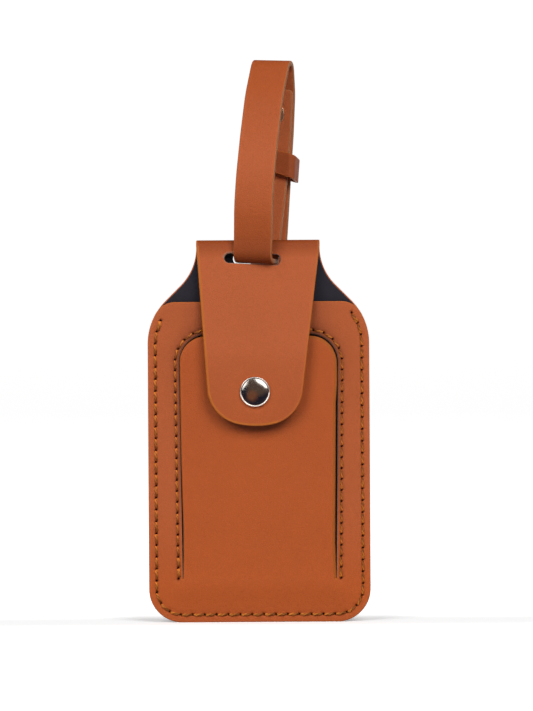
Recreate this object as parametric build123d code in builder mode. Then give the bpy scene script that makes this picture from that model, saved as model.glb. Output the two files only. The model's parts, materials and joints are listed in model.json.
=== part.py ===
from build123d import *
from math import cos, radians, sin, sqrt
import os

# Luggage tag: a flat leather card pouch with a snap flap, hung on a looped strap.
# +Z is up, -Y is the front and +X is to the right seen from the front.
# The origin is where a bag's handle bears, on the inside of the top of the strap's loop.
# Pouch heights are measured up from its bottom edge and depths forward from its back face.

# How far apart two heights or lengths may be and still count as the same
match_tol = 0.01

# Sheet materials
leather_t = 1.3
lining_t = 0.35
film_t = 0.25
card_t = 0.3
card_play = 0.15
tongue_bevel = 0.3

# Pouch outline, with the shoulders and the pocket's mouth measured down from the top of the fold
body_w = 70.0
back_h = 120.7
mouth_drop = 19.5
corner_r = 10.5
shoulder_drop = 24.7
shoulder_r = 19.5
neck_w = 39.0
neck_r = 17.6
front_corner_r = 7.0

# Sewn edge of the front, and the low crown inside it
seam_w = 3.8
crown_slope_w = 2.4

# Flap, measured down from the top of the fold
fold_gap = 0.5
flap_length = 58.75
flap_tip_w = 28.7
flap_tip_r = 26.0
flap_corner_r = 12.0
flap_lean = 1.4
flap_flare = 7.6
flare_r = 40.0
hinge_below_slot = 2.6
cut_gap = 0.2

# Slots for the strap, one in the neck and one in the flap
slot_w = 17.6
slot_h = 4.1
slot_drop = 5.9
flap_slot_shift = -1.6

# Tongue, cut free of the front by an arched slit that leaves a frame of leather round it
frame_top = 10.4
frame_foot = 13.8
frame_side_top = 9.9
frame_side_foot = 10.7
opening_r = 8.8
slit_w = 0.6
tongue_lift = 0.15
tongue_rise = 0.5
tongue_rise_h = 9.0

# Window and address card
window_margin = 3.0
card_w = 54.0
card_h = 86.0
card_foot_h = 5.6
card_corner_r = 3.2

# Snap fasteners, one on the flap and one on the strap
snap_drop = 47.9
cap_d = 9.4
cap_t = 0.95
cap_dish = 0.35
cap_rim_w = 0.6
cap_edge_t = 0.35
socket_d = 8.4
socket_h = 2.0
socket_web = 0.25
stud_d = 3.8
stud_neck_d = 3.0
stud_flange_d = 7.4
stud_flange_t = 0.4
stud_h = 1.7
rivet_d = 2.4
rivet_play = 0.05
snap_play = 0.12
post_d = 6.6
post_t = 0.35

# Strap, a single strip looped through both slots
strap_w = 12.3
strap_t = 1.7
strap_yaw = 13.5
strap_roll = 2.6
strap_side = -0.5
strap_lift = 0.75
tail_tip_r = 5.0
end_corner_r = 1.5
strap_snap_drop = 15.4
strap_snap_post_d = 7.8
strap_socket_h = 1.35
strap_stud_h = 1.0

# Keeper, a loose band round both rear layers of the strap
keeper_h = 7.6
keeper_t = 1.2
keeper_inner_w = 15.2
keeper_inner_depth = 8.0
keeper_droop = 14.0
keeper_lean = 7.0
keeper_drop = 30.6
keeper_reach = 3.9
keeper_corner_r = 0.8

# Centre line of the strap from the origin, as (rearward, upward) corners and bend radii.
# It runs from the inner rear end down, through the slots, up the front and over to the tail.
slot_run_z = -62.5
slot_run_back = -5.9
crown_z = strap_t / 2
inner_rear = 3.6
outer_rear = 7.15
front_leg = -16.3
strap_route = [
    ((inner_rear, -7.3), None),
    ((inner_rear, -21.5), 24.0),
    ((1.4, -35.5), 30.0),
    ((-5.5, -57.5), 6.0),
    ((slot_run_back, slot_run_z), 2.6),
    ((front_leg, slot_run_z), 2.6),
    ((front_leg, -56.5), 22.0),
    ((-17.8, -46.0), 30.0),
    ((-16.8, -36.0), 40.0),
    ((-13.6, -23.5), 60.0),
    ((-9.2, -10.4), 26.0),
    ((-1.9, crown_z), 4.2),
    ((3.3, crown_z), 3.4),
    ((outer_rear, -8.6), 12.0),
    ((outer_rear, -21.0), 40.0),
    ((5.6, -36.0), 60.0),
    ((4.3, -52.0), 50.0),
    ((2.4, -65.4), None),
]

# Depths of the layers, forward from the back face
back_lining_d = leather_t
card_d = back_lining_d + lining_t + card_play
window_d = card_d + card_t + card_play
front_lining_d = window_d + film_t
front_leather_d = front_lining_d + lining_t
front_face_d = front_leather_d + leather_t
rim_lining_d = back_lining_d + lining_t
crown_rise = front_lining_d - rim_lining_d
tongue_face_d = front_face_d + tongue_lift + tongue_rise
tongue_leather_d = front_leather_d + tongue_lift
flap_inner_d = tongue_face_d + stud_flange_t + snap_play + socket_h
fold_r = lining_t + fold_gap
fold_mid_d = leather_t + fold_r
fold_centre_h = back_h - leather_t - fold_r
fold_start = fold_r / 2
flare_turn = radians(flap_flare)
flare_start_d = leather_t + fold_r * (1 + cos(flare_turn))
flare_run = (flap_inner_d + lining_t - flare_start_d - flare_r * (1 - cos(flare_turn))) / sin(flare_turn)
slot_centre_h = back_h - slot_drop
hinge_h = slot_centre_h - slot_h / 2 - hinge_below_slot
snap_height = back_h - snap_drop
front_h = back_h - mouth_drop
shoulder_h = back_h - shoulder_drop
neck_foot_h = shoulder_h + (body_w - neck_w) / 2
opening_top_h = front_h - frame_top
opening_top_w = body_w - 2 * frame_side_top
opening_foot_w = body_w - 2 * frame_side_foot
reach = body_w

# Frames: the strap leans and turns about the origin, and the pouch hangs plumb from it
rearward = Vector(0, 1, 0).rotate(Axis.Z, -strap_yaw).rotate(Axis.Y, strap_roll)
across = Vector(1, 0, 0).rotate(Axis.Z, -strap_yaw).rotate(Axis.Y, strap_roll)
strap_plane = Plane(origin=(0, 0, 0), x_dir=rearward, z_dir=across)
neck_reach = (front_leg + slot_run_back) / 2
crossing = strap_plane.from_local_coords(Vector(neck_reach, slot_run_z, 0))
pouch_foot_z = crossing.Z - strap_t / 2 - strap_lift - slot_centre_h + slot_h / 2
pouch_origin = Vector(crossing.X - strap_side, crossing.Y + fold_mid_d, pouch_foot_z)
pouch = Plane(origin=pouch_origin, x_dir=(1, 0, 0), z_dir=(0, -1, 0))
pouch_side = Plane(origin=pouch_origin, x_dir=(0, -1, 0), z_dir=(-1, 0, 0))
flap_lean_dir = Vector(1, 0, 0).rotate(Axis.Y, flap_lean)
fold_top = pouch_origin + Vector(0, 0, back_h)
flap_plane = Plane(origin=fold_top, x_dir=flap_lean_dir, z_dir=(0, -1, 0))


def body_outline(top):
    """Face outline: rounded foot, straight sides, shoulders that curve in and a neck up to the top."""
    right = [
        (body_w / 2, 0),
        (body_w / 2, shoulder_h),
        (neck_w / 2, neck_foot_h),
        (neck_w / 2, 2 * back_h),
    ]
    with BuildSketch(mode=Mode.PRIVATE) as outline:
        with BuildLine():
            Polyline(*right, *[(-x, y) for x, y in reversed(right)], close=True)
        make_face()
        for height, radius in ((0, corner_r), (shoulder_h, shoulder_r), (neck_foot_h, neck_r)):
            corners = outline.vertices().filter_by_position(Axis.Y, height - match_tol, height + match_tol)
            fillet(corners, radius)
        with Locations((0, top)):
            Rectangle(2 * reach, 2 * back_h, align=(Align.CENTER, Align.MIN), mode=Mode.SUBTRACT)
    return outline.sketch


def front_outline():
    """The body outline cut level at the pocket's mouth, with eased corners."""
    with BuildSketch(mode=Mode.PRIVATE) as outline:
        add(body_outline(front_h))
        fillet(outline.vertices().group_by(Axis.Y)[-1], front_corner_r)
    return outline.sketch


def opening_outline(inset, foot_h):
    """The arched opening round the tongue, or the tongue itself when inset."""
    foot_x = opening_foot_w / 2 - inset
    top_x = opening_top_w / 2 - inset
    top = opening_top_h - inset
    with BuildSketch(mode=Mode.PRIVATE) as outline:
        with BuildLine():
            Polyline((-foot_x, foot_h), (foot_x, foot_h), (top_x, top), (-top_x, top), close=True)
        make_face()
        fillet(outline.vertices().group_by(Axis.Y)[-1], opening_r - inset)
    return outline.sketch


def flap_outline():
    """The flap seen from the front, from the top of the fold down to its blunt round tip."""
    tip_x = flap_tip_w / 2
    tip_end = flap_tip_r - sqrt(flap_tip_r**2 - tip_x**2) - flap_length
    shoulder = fold_centre_h - back_h
    with BuildSketch(mode=Mode.PRIVATE) as outline:
        with BuildLine():
            Polyline(
                (-tip_x, tip_end), (-neck_w / 2, shoulder), (-neck_w / 2, leather_t),
                (neck_w / 2, leather_t), (neck_w / 2, shoulder), (tip_x, tip_end),
            )
            ThreePointArc((tip_x, tip_end), (0, -flap_length), (-tip_x, tip_end))
        make_face()
        fillet(outline.vertices().group_by(Axis.Y)[0], flap_corner_r)
    return outline.sketch


def crown_outline(inset):
    """Straight-sided outline inside the sewn edge, running out over the pocket's mouth."""
    with BuildSketch(mode=Mode.PRIVATE) as outline:
        with Locations((0, inset)):
            Rectangle(body_w - 2 * inset, back_h, align=(Align.CENTER, Align.MIN))
        fillet(outline.vertices().group_by(Axis.Y)[0], corner_r - inset / 2)
    return outline.sketch


def crown_loft(depth, mode):
    """A low crown that rises inside the sewn edge, so that the card has room behind it."""
    foot = pouch.offset(depth).from_local_coords(crown_outline(seam_w))
    top = pouch.offset(depth + crown_rise).from_local_coords(crown_outline(seam_w + crown_slope_w))
    loft([foot, top], ruled=True, mode=mode)


def folded_layer(thickness, away):
    """One layer of the sheet, up the neck, over the fold and down to the flap's tip.

    Its middle lies a distance away outside the face where leather and lining meet.
    """
    with BuildSketch(pouch_side) as layer:
        with BuildLine():
            neck = Line((leather_t - away, fold_centre_h - fold_start), (leather_t - away, fold_centre_h))
            bend = JernArc(neck @ 1, neck % 1, fold_r + away, flap_flare - 180)
            run = Line(bend @ 1, (bend @ 1) + (bend % 1) * flare_run)
            flare = JernArc(run @ 1, run % 1, flare_r + away, -flap_flare)
            Line(flare @ 1, (flare @ 1) + (flare % 1) * flap_length)
        trace(line_width=thickness)
    extrude(layer.sketch, amount=neck_w, both=True)


def keep_fold():
    """Trim to the neck, the fold and the fixed part of the flap above its bending line."""
    with BuildSketch(pouch_side) as below:
        with Locations((fold_mid_d, hinge_h)):
            Rectangle(reach, back_h, align=(Align.MIN, Align.MAX))
    extrude(below.sketch, amount=reach, both=True, mode=Mode.SUBTRACT)
    with BuildSketch(pouch) as neck:
        with Locations((0, back_h)):
            Rectangle(neck_w, 2 * slot_drop + 2 * reach)
    extrude(neck.sketch, amount=reach, mode=Mode.INTERSECT)
    with BuildSketch(flap_plane.offset(fold_mid_d)) as beside:
        Rectangle(2 * reach, 2 * reach)
        add(flap_outline(), mode=Mode.SUBTRACT)
    extrude(beside.sketch, amount=reach, mode=Mode.SUBTRACT)


def keep_flap():
    """Trim to the part of the flap that swings, below its bending line."""
    with BuildSketch(pouch_side) as below:
        with Locations((fold_mid_d, hinge_h - cut_gap)):
            Rectangle(reach, back_h, align=(Align.MIN, Align.MAX))
    extrude(below.sketch, amount=reach, both=True, mode=Mode.INTERSECT)
    extrude(flap_plane.from_local_coords(flap_outline()), amount=reach, mode=Mode.INTERSECT)


def cut_slots():
    """Cut the strap's slots through the neck, and through the flap in front of it."""
    with BuildSketch(pouch) as neck_slot:
        with Locations((0, slot_centre_h)):
            SlotOverall(slot_w, slot_h)
    extrude(neck_slot.sketch, amount=fold_mid_d, mode=Mode.SUBTRACT)
    with BuildSketch(flap_plane.offset(fold_mid_d)) as flap_slot:
        with Locations((flap_slot_shift, -slot_drop)):
            SlotOverall(slot_w, slot_h)
    extrude(flap_slot.sketch, amount=reach, mode=Mode.SUBTRACT)


def cut_hole(plane, depth):
    """Cut a rivet's hole into the leather, from a plane whose origin is on the rivet's axis."""
    with BuildSketch(plane) as hole:
        Circle(rivet_d / 2 + rivet_play)
    extrude(hole.sketch, amount=depth, mode=Mode.SUBTRACT)


def tongue_layer(thickness, depth):
    """One layer of the tongue, from a depth forward, which rises a little above the front."""
    foot = frame_foot + cut_gap
    with BuildSketch(pouch_side) as layer:
        with BuildLine():
            for face in (depth, depth + thickness):
                FilletPolyline(
                    (face, foot),
                    (face, foot + tongue_rise_h / 3),
                    (face + tongue_rise, foot + tongue_rise_h),
                    (face + tongue_rise, opening_top_h),
                    radius=tongue_rise_h,
                )
            Line((depth, foot), (depth + thickness, foot))
            Line((depth + tongue_rise, opening_top_h), (depth + tongue_rise + thickness, opening_top_h))
        make_face()
    extrude(layer.sketch, amount=reach, both=True)
    extrude(pouch.from_local_coords(opening_outline(slit_w, foot)), amount=reach, mode=Mode.INTERSECT)


# ---- Back of the pouch, one piece of leather with the fold, and its lining

with BuildPart() as back_panel:
    folded_layer(leather_t, leather_t / 2)
    keep_fold()
    with BuildSketch(pouch):
        add(body_outline(fold_centre_h))
    extrude(amount=leather_t)
    cut_slots()

with BuildPart() as back_lining:
    folded_layer(lining_t, -lining_t / 2)
    keep_fold()
    with BuildSketch(pouch.offset(back_lining_d)):
        add(body_outline(fold_centre_h))
    extrude(amount=lining_t)
    cut_slots()

# ---- Front of the pouch: sewn rim, low crown and arched opening

with BuildPart() as front_panel:
    with BuildSketch(pouch.offset(rim_lining_d + lining_t)):
        add(front_outline())
    extrude(amount=leather_t)
    crown_loft(rim_lining_d + lining_t + leather_t, Mode.ADD)
    crown_loft(rim_lining_d + lining_t, Mode.SUBTRACT)
    with BuildSketch(pouch):
        add(front_outline())
    extrude(amount=reach, mode=Mode.INTERSECT)
    with BuildSketch(pouch):
        add(opening_outline(0, frame_foot))
    extrude(amount=reach, mode=Mode.SUBTRACT)

with BuildPart() as front_lining:
    with BuildSketch(pouch.offset(rim_lining_d)):
        add(front_outline())
    extrude(amount=lining_t)
    crown_loft(rim_lining_d + lining_t, Mode.ADD)
    crown_loft(rim_lining_d, Mode.SUBTRACT)
    with BuildSketch(pouch):
        add(front_outline())
    extrude(amount=reach, mode=Mode.INTERSECT)
    with BuildSketch(pouch):
        add(opening_outline(0, frame_foot))
    extrude(amount=reach, mode=Mode.SUBTRACT)

with BuildPart() as window:
    with BuildSketch(pouch.offset(window_d)):
        add(opening_outline(-window_margin, frame_foot - window_margin))
    extrude(amount=film_t)

with BuildPart() as address_card:
    with BuildSketch(pouch.offset(card_d)):
        with Locations((0, card_foot_h)):
            RectangleRounded(card_w, card_h, card_corner_r, align=(Align.CENTER, Align.MIN))
    extrude(amount=card_t)

# ---- Tongue and flap

snap_point = flap_plane.from_local_coords(Vector(0, -snap_drop, 0))
snap_spot = Vector(snap_point.X, pouch_origin.Y, snap_point.Z)
tongue_front = Plane(origin=snap_spot, x_dir=(1, 0, 0), z_dir=(0, -1, 0)).offset(tongue_face_d)
flap_inner = Plane(origin=snap_spot, x_dir=(1, 0, 0), z_dir=(0, -1, 0)).offset(flap_inner_d)

with BuildPart() as tongue:
    tongue_layer(leather_t, tongue_leather_d)
    chamfer(tongue.faces().sort_by(Axis.Y)[0].edges().filter_by(Axis.X, reverse=True), tongue_bevel)
    cut_hole(tongue_front, -leather_t - lining_t)

with BuildPart() as tongue_lining:
    tongue_layer(lining_t, tongue_leather_d - lining_t)
    cut_hole(tongue_front, -leather_t - lining_t)

with BuildPart() as flap:
    folded_layer(leather_t, leather_t / 2)
    keep_flap()
    cut_hole(flap_inner, leather_t + lining_t)

with BuildPart() as flap_lining:
    folded_layer(lining_t, -lining_t / 2)
    keep_flap()
    cut_hole(flap_inner, leather_t + lining_t)


def snap_cap(plane, wall):
    """Dished cap with a bevelled rim outside the leather, and a rivet back into the socket."""
    half = cap_d / 2
    rim = half - cap_rim_w
    dish_r = (rim**2 + cap_dish**2) / (2 * cap_dish)
    section = Plane(origin=plane.origin, x_dir=plane.x_dir, z_dir=-plane.y_dir)
    with BuildSketch(section) as profile:
        with BuildLine():
            dish = RadiusArc((rim, wall + cap_t), (0, wall + cap_t - cap_dish), dish_r)
            Polyline(
                dish @ 1, (0, -socket_web), (rivet_d / 2, -socket_web), (rivet_d / 2, wall), (half, wall),
                (half, wall + cap_edge_t), dish @ 0,
            )
        make_face()
    revolve(profile.sketch, axis=Axis(plane.origin, plane.z_dir))


def snap_socket(plane, height, diameter):
    """Hollow socket on the inner face, open towards the stud, with the cap's rivet in its web."""
    with BuildSketch(plane) as body:
        Circle(diameter / 2)
        Circle(rivet_d / 2 + rivet_play, mode=Mode.SUBTRACT)
    extrude(body.sketch, amount=-height)
    with BuildSketch(plane.offset(-socket_web)) as mouth:
        Circle(stud_d / 2 + snap_play)
    extrude(mouth.sketch, amount=socket_web - height, mode=Mode.SUBTRACT)


def snap_stud(plane, height):
    """Stud with a flange that seats on the leather and a bulb that the socket grips."""
    with BuildSketch(plane) as flange:
        Circle(stud_flange_d / 2)
    extrude(flange.sketch, amount=stud_flange_t)
    with BuildSketch(plane) as neck:
        Circle(stud_neck_d / 2)
    extrude(neck.sketch, amount=height)
    with BuildSketch(plane.offset((height + stud_flange_t) / 2)) as bulb:
        Circle(stud_d / 2)
    extrude(bulb.sketch, amount=(height - stud_flange_t) / 2)
    with BuildSketch(plane) as bore:
        Circle(rivet_d / 2 + rivet_play)
    extrude(bore.sketch, amount=height / 2, mode=Mode.SUBTRACT)


def snap_post(plane, wall, diameter, height):
    """Flat post on the far side of the leather, riveted up into the stud."""
    with BuildSketch(plane.offset(-wall)) as disc:
        Circle(diameter / 2)
    extrude(disc.sketch, amount=-post_t)
    with BuildSketch(plane.offset(-wall)) as rivet:
        Circle(rivet_d / 2)
    extrude(rivet.sketch, amount=wall + height / 2)


with BuildPart() as flap_snap_cap:
    snap_cap(flap_inner, lining_t + leather_t)

with BuildPart() as flap_snap_socket:
    snap_socket(flap_inner, socket_h, socket_d)

with BuildPart() as tongue_snap_stud:
    snap_stud(tongue_front, stud_flange_t + stud_h)

with BuildPart() as tongue_snap_post:
    snap_post(tongue_front, leather_t + lining_t, post_d, stud_flange_t + stud_h)

# ---- Strap, its own snap and the keeper

rear_normal = Plane(origin=strap_plane.from_local_coords(Vector(0, -strap_snap_drop, 0)),
                    x_dir=across, z_dir=rearward)
inner_layer = rear_normal.offset(inner_rear + strap_t / 2)
outer_layer = rear_normal.offset(outer_rear - strap_t / 2)

with BuildPart() as strap:
    with BuildSketch(strap_plane):
        with BuildLine() as centre:
            FilletPolyline(*[p for p, r in strap_route], radius=[r for p, r in strap_route if r])
        trace(line_width=strap_t)
    extrude(amount=strap_w / 2, both=True)
    tips = strap.edges().filter_by(lambda e: abs(e.length - strap_t) < match_tol)
    ends = tips.group_by(lambda e: round(strap_plane.to_local_coords(e.center()).Y))
    fillet(ends[0], tail_tip_r)
    fillet(ends[-1], end_corner_r)
    cut_hole(rear_normal, outer_rear + strap_t)
print("strap cut length", round(sum(edge.length for edge in centre.edges()), 1))

with BuildPart() as strap_snap_post:
    snap_post(inner_layer, strap_t, strap_snap_post_d, strap_stud_h)

with BuildPart() as strap_snap_stud:
    snap_stud(inner_layer, strap_stud_h)

with BuildPart() as strap_snap_socket:
    snap_socket(outer_layer, strap_socket_h, socket_d)

with BuildPart() as strap_snap_cap:
    snap_cap(outer_layer, strap_t)

keeper_plane = Plane(
    origin=strap_plane.from_local_coords(Vector(keeper_reach, -keeper_drop, 0)),
    x_dir=across.rotate(Axis((0, 0, 0), rearward), keeper_droop),
    z_dir=strap_plane.y_dir.rotate(Axis((0, 0, 0), across), -keeper_lean).rotate(
        Axis((0, 0, 0), rearward), keeper_droop),
)

with BuildPart() as keeper:
    with BuildSketch(keeper_plane):
        RectangleRounded(keeper_inner_w + 2 * keeper_t, keeper_inner_depth + 2 * keeper_t,
                         keeper_corner_r + keeper_t)
        RectangleRounded(keeper_inner_w, keeper_inner_depth, keeper_corner_r, mode=Mode.SUBTRACT)
    extrude(amount=keeper_h / 2, both=True)

# ---- Hand over every piece

pieces = {
    "strap": strap,
    "strap_snap_cap": strap_snap_cap,
    "strap_snap_socket": strap_snap_socket,
    "strap_snap_stud": strap_snap_stud,
    "strap_snap_post": strap_snap_post,
    "keeper": keeper,
    "back_panel": back_panel,
    "back_lining": back_lining,
    "front_panel": front_panel,
    "front_lining": front_lining,
    "window": window,
    "address_card": address_card,
    "flap": flap,
    "flap_lining": flap_lining,
    "flap_snap_cap": flap_snap_cap,
    "flap_snap_socket": flap_snap_socket,
    "tongue": tongue,
    "tongue_lining": tongue_lining,
    "tongue_snap_stud": tongue_snap_stud,
    "tongue_snap_post": tongue_snap_post,
}
os.makedirs("parts", exist_ok=True)
for name, piece in pieces.items():
    piece.part.label = name
    export_step(piece.part, f"parts/{name}.step")
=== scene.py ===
"""Dresses the luggage tag: folded leather, dark lining, stitching, snaps, card and window."""
import json
import math

import bpy
import numpy as np
from bpy.props import FloatProperty, FloatVectorProperty, PointerProperty
from mathutils import Matrix, Vector
from mathutils.geometry import delaunay_2d_cdt
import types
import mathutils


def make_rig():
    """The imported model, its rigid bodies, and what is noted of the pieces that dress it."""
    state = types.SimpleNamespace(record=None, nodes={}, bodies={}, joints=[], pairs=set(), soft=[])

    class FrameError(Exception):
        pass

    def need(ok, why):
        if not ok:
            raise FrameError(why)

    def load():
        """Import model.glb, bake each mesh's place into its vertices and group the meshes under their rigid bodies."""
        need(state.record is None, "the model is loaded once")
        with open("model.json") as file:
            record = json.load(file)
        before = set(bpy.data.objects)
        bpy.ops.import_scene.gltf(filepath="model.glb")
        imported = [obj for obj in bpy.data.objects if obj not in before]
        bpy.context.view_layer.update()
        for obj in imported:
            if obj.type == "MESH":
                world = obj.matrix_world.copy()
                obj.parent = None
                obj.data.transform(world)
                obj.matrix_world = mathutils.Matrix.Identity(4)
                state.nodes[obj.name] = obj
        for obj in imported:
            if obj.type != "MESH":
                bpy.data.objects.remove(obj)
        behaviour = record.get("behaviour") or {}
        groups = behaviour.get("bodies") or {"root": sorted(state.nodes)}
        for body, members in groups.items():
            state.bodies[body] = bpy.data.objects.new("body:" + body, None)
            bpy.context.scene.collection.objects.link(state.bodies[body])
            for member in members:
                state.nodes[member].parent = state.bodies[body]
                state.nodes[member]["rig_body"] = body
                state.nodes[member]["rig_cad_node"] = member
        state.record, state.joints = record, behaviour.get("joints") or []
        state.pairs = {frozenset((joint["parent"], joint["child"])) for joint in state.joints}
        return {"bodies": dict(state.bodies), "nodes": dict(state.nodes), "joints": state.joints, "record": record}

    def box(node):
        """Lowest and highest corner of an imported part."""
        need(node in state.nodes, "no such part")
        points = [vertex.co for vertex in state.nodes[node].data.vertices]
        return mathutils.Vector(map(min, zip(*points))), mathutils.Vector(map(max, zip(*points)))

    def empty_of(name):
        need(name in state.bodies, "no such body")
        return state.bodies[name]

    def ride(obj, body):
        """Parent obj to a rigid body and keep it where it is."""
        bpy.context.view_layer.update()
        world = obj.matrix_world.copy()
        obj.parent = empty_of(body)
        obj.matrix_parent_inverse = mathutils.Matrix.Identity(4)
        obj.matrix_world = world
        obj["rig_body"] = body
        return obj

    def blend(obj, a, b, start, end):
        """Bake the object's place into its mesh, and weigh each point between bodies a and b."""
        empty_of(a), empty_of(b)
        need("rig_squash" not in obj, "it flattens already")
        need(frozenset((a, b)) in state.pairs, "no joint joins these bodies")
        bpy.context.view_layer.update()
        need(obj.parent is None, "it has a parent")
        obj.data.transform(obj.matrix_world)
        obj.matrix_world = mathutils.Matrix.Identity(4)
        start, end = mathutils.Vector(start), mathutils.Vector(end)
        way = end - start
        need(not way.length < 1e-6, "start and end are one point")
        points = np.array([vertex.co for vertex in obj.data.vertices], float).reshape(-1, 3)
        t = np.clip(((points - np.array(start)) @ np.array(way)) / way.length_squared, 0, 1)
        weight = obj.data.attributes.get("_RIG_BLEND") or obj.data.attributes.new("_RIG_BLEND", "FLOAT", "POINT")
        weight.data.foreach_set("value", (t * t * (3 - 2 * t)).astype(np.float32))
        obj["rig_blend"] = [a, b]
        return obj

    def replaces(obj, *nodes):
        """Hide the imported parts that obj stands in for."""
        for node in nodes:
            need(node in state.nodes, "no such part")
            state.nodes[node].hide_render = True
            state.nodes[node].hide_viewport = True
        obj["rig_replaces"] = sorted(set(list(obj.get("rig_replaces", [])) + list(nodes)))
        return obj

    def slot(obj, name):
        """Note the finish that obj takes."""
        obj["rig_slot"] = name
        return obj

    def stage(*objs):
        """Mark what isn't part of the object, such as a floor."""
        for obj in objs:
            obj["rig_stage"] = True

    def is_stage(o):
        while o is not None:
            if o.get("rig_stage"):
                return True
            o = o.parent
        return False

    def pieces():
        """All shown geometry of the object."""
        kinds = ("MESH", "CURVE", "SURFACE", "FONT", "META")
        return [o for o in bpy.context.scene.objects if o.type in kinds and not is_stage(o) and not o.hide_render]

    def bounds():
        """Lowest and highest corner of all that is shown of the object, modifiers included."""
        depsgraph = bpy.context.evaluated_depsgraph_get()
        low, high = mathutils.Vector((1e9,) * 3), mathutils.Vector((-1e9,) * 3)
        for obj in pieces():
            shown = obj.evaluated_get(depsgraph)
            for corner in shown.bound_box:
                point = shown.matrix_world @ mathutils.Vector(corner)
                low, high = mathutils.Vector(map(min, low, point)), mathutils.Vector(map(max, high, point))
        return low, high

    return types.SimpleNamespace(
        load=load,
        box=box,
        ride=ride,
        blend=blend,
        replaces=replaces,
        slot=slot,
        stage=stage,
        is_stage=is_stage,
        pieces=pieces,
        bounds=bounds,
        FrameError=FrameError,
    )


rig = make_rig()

bl_info = {
    "name": "Luggage Tag",
    "version": (1, 0, 0),
    "blender": (4, 5, 0),
    "location": "3D View > Sidebar > Luggage Tag",
    "description": "Leather luggage tag built over its packed solids",
    "category": "Object",
}

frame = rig.load()
CAD_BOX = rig.bounds()
MM = 0.001

# Sizes are in millimetres, and names that end in TURN, LEAN, YAW, ROLL or DROOP are in degrees.
# Pouch heights run up from its foot and depths forward from its back.
LEATHER_T = 1.3
LINING_T = 0.35
LINING_INSET = 0.35

# The back, the front and the slots in the neck
NECK_W = 39.0
NECK_R = 17.0
SHOULDER_H = 96.0
SHOULDER_R = 19.5
FOOT_CORNER_R = 10.5
MOUTH_CORNER_R = 7.0
SEAM_W = 3.2
CROWN_SLOPE_W = 10.0
SLOT_W = 17.6
SLOT_H = 4.1
SLOT_DROP = 5.9
CARD_CORNER_R = 3.2

# The bend at the top, the stretch that flares forward after it, and the flap
FOLD_R = 0.85
FLARE_R = 40.0
FLARE_TURN = 7.6
FLAP_LEAN = 1.4
FLAP_L = 58.75
FLAP_TIP_W = 28.7
FLAP_TIP_R = 26.0
FLAP_CORNER_R = 12.0
FLAP_SLOT_SHIFT = -1.6

# The slit round the tongue, which the row of stitches round the arch follows
ARCH_R = 8.8
ARCH_FOOT_H = 13.8
ARCH_FOOT_W = 48.6
ARCH_TOP_W = 50.2
ARCH_TOP_H = 90.8
SLIT_W = 0.45

# The strap and its keeper
STRAP_T = 1.7
STRAP_W = 12.3
STRAP_YAW = 13.5
STRAP_ROLL = 2.6
TAIL_R = 5.0
INNER_END_R = 1.5
KEEPER_H = 7.6
KEEPER_T = 1.2
KEEPER_INNER = (15.2, 8.0)
KEEPER_CORNER_R = 0.8
KEEPER_DROOP = 14.0
KEEPER_LEAN = 7.0

# The strap's centre line, as (rearward, upward, bend radius) from its inner rear end to its tail
STRAP_ROUTE = [
    (3.6, -7.3, 0), (3.6, -21.5, 24.0), (1.4, -35.5, 30.0), (-5.5, -57.5, 6.0), (-5.9, -62.75, 2.6),
    (-16.3, -62.75, 2.6), (-16.3, -56.5, 22.0), (-17.8, -46.0, 30.0), (-16.8, -36.0, 40.0),
    (-13.6, -23.5, 60.0), (-9.2, -10.4, 26.0), (-1.9, 0.85, 4.2), (3.3, 0.85, 3.4),
    (7.15, -8.6, 12.0), (7.15, -21.0, 40.0), (5.6, -36.0, 60.0), (4.3, -52.0, 50.0), (2.4, -65.4, 0),
]
# How far rearward the strap's two rear layers lie
INNER_LAYER, OUTER_LAYER = STRAP_ROUTE[0][0], STRAP_ROUTE[13][0]


def joint(name):
    """The frame's joint of that name."""
    return next(j for j in frame["joints"] if j["name"] == name)


def box_mm(node):
    """A node's box as centre and size, in millimetres."""
    low, high = (np.array(corner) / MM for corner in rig.box(node))
    return (low + high) / 2, high - low


back_mid, back_size = box_mm("back_panel")
front_mid, front_size = box_mm("front_panel")
flap_mid, flap_size = box_mm("flap")
tongue_mid, tongue_size = box_mm("tongue")
card_mid, card_size = box_mm("address_card")
window_mid, window_size = box_mm("window")
POUCH = np.array([back_mid[0], back_mid[1] + back_size[1] / 2, back_mid[2] - back_size[2] / 2])
BODY_W, BACK_H, FRONT_H = back_size[0], back_size[2], front_size[2]
FRONT_FACE_D = POUCH[1] - (front_mid[1] - front_size[1] / 2)
FRONT_RIM_BACK_D = POUCH[1] - (front_mid[1] + front_size[1] / 2)
CROWN_RISE = FRONT_FACE_D - FRONT_RIM_BACK_D - LEATHER_T
TONGUE_FACE_D = POUCH[1] - (tongue_mid[1] - tongue_size[1] / 2)
FLAP_D = POUCH[1] - (flap_mid[1] - flap_size[1] / 2) - LEATHER_T
CARD_BACK_D = POUCH[1] - (card_mid[1] + card_size[1] / 2)
WINDOW_BACK_D = POUCH[1] - (window_mid[1] + window_size[1] / 2)
SLOT_CENTRE_H = BACK_H - SLOT_DROP
FLAP_HINGE = np.array(joint("flap_lift")["pos_m"]) / MM
TONGUE_HINGE = np.array(joint("tongue_lift")["pos_m"]) / MM


# ---- Outlines, in flat millimetres


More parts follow.
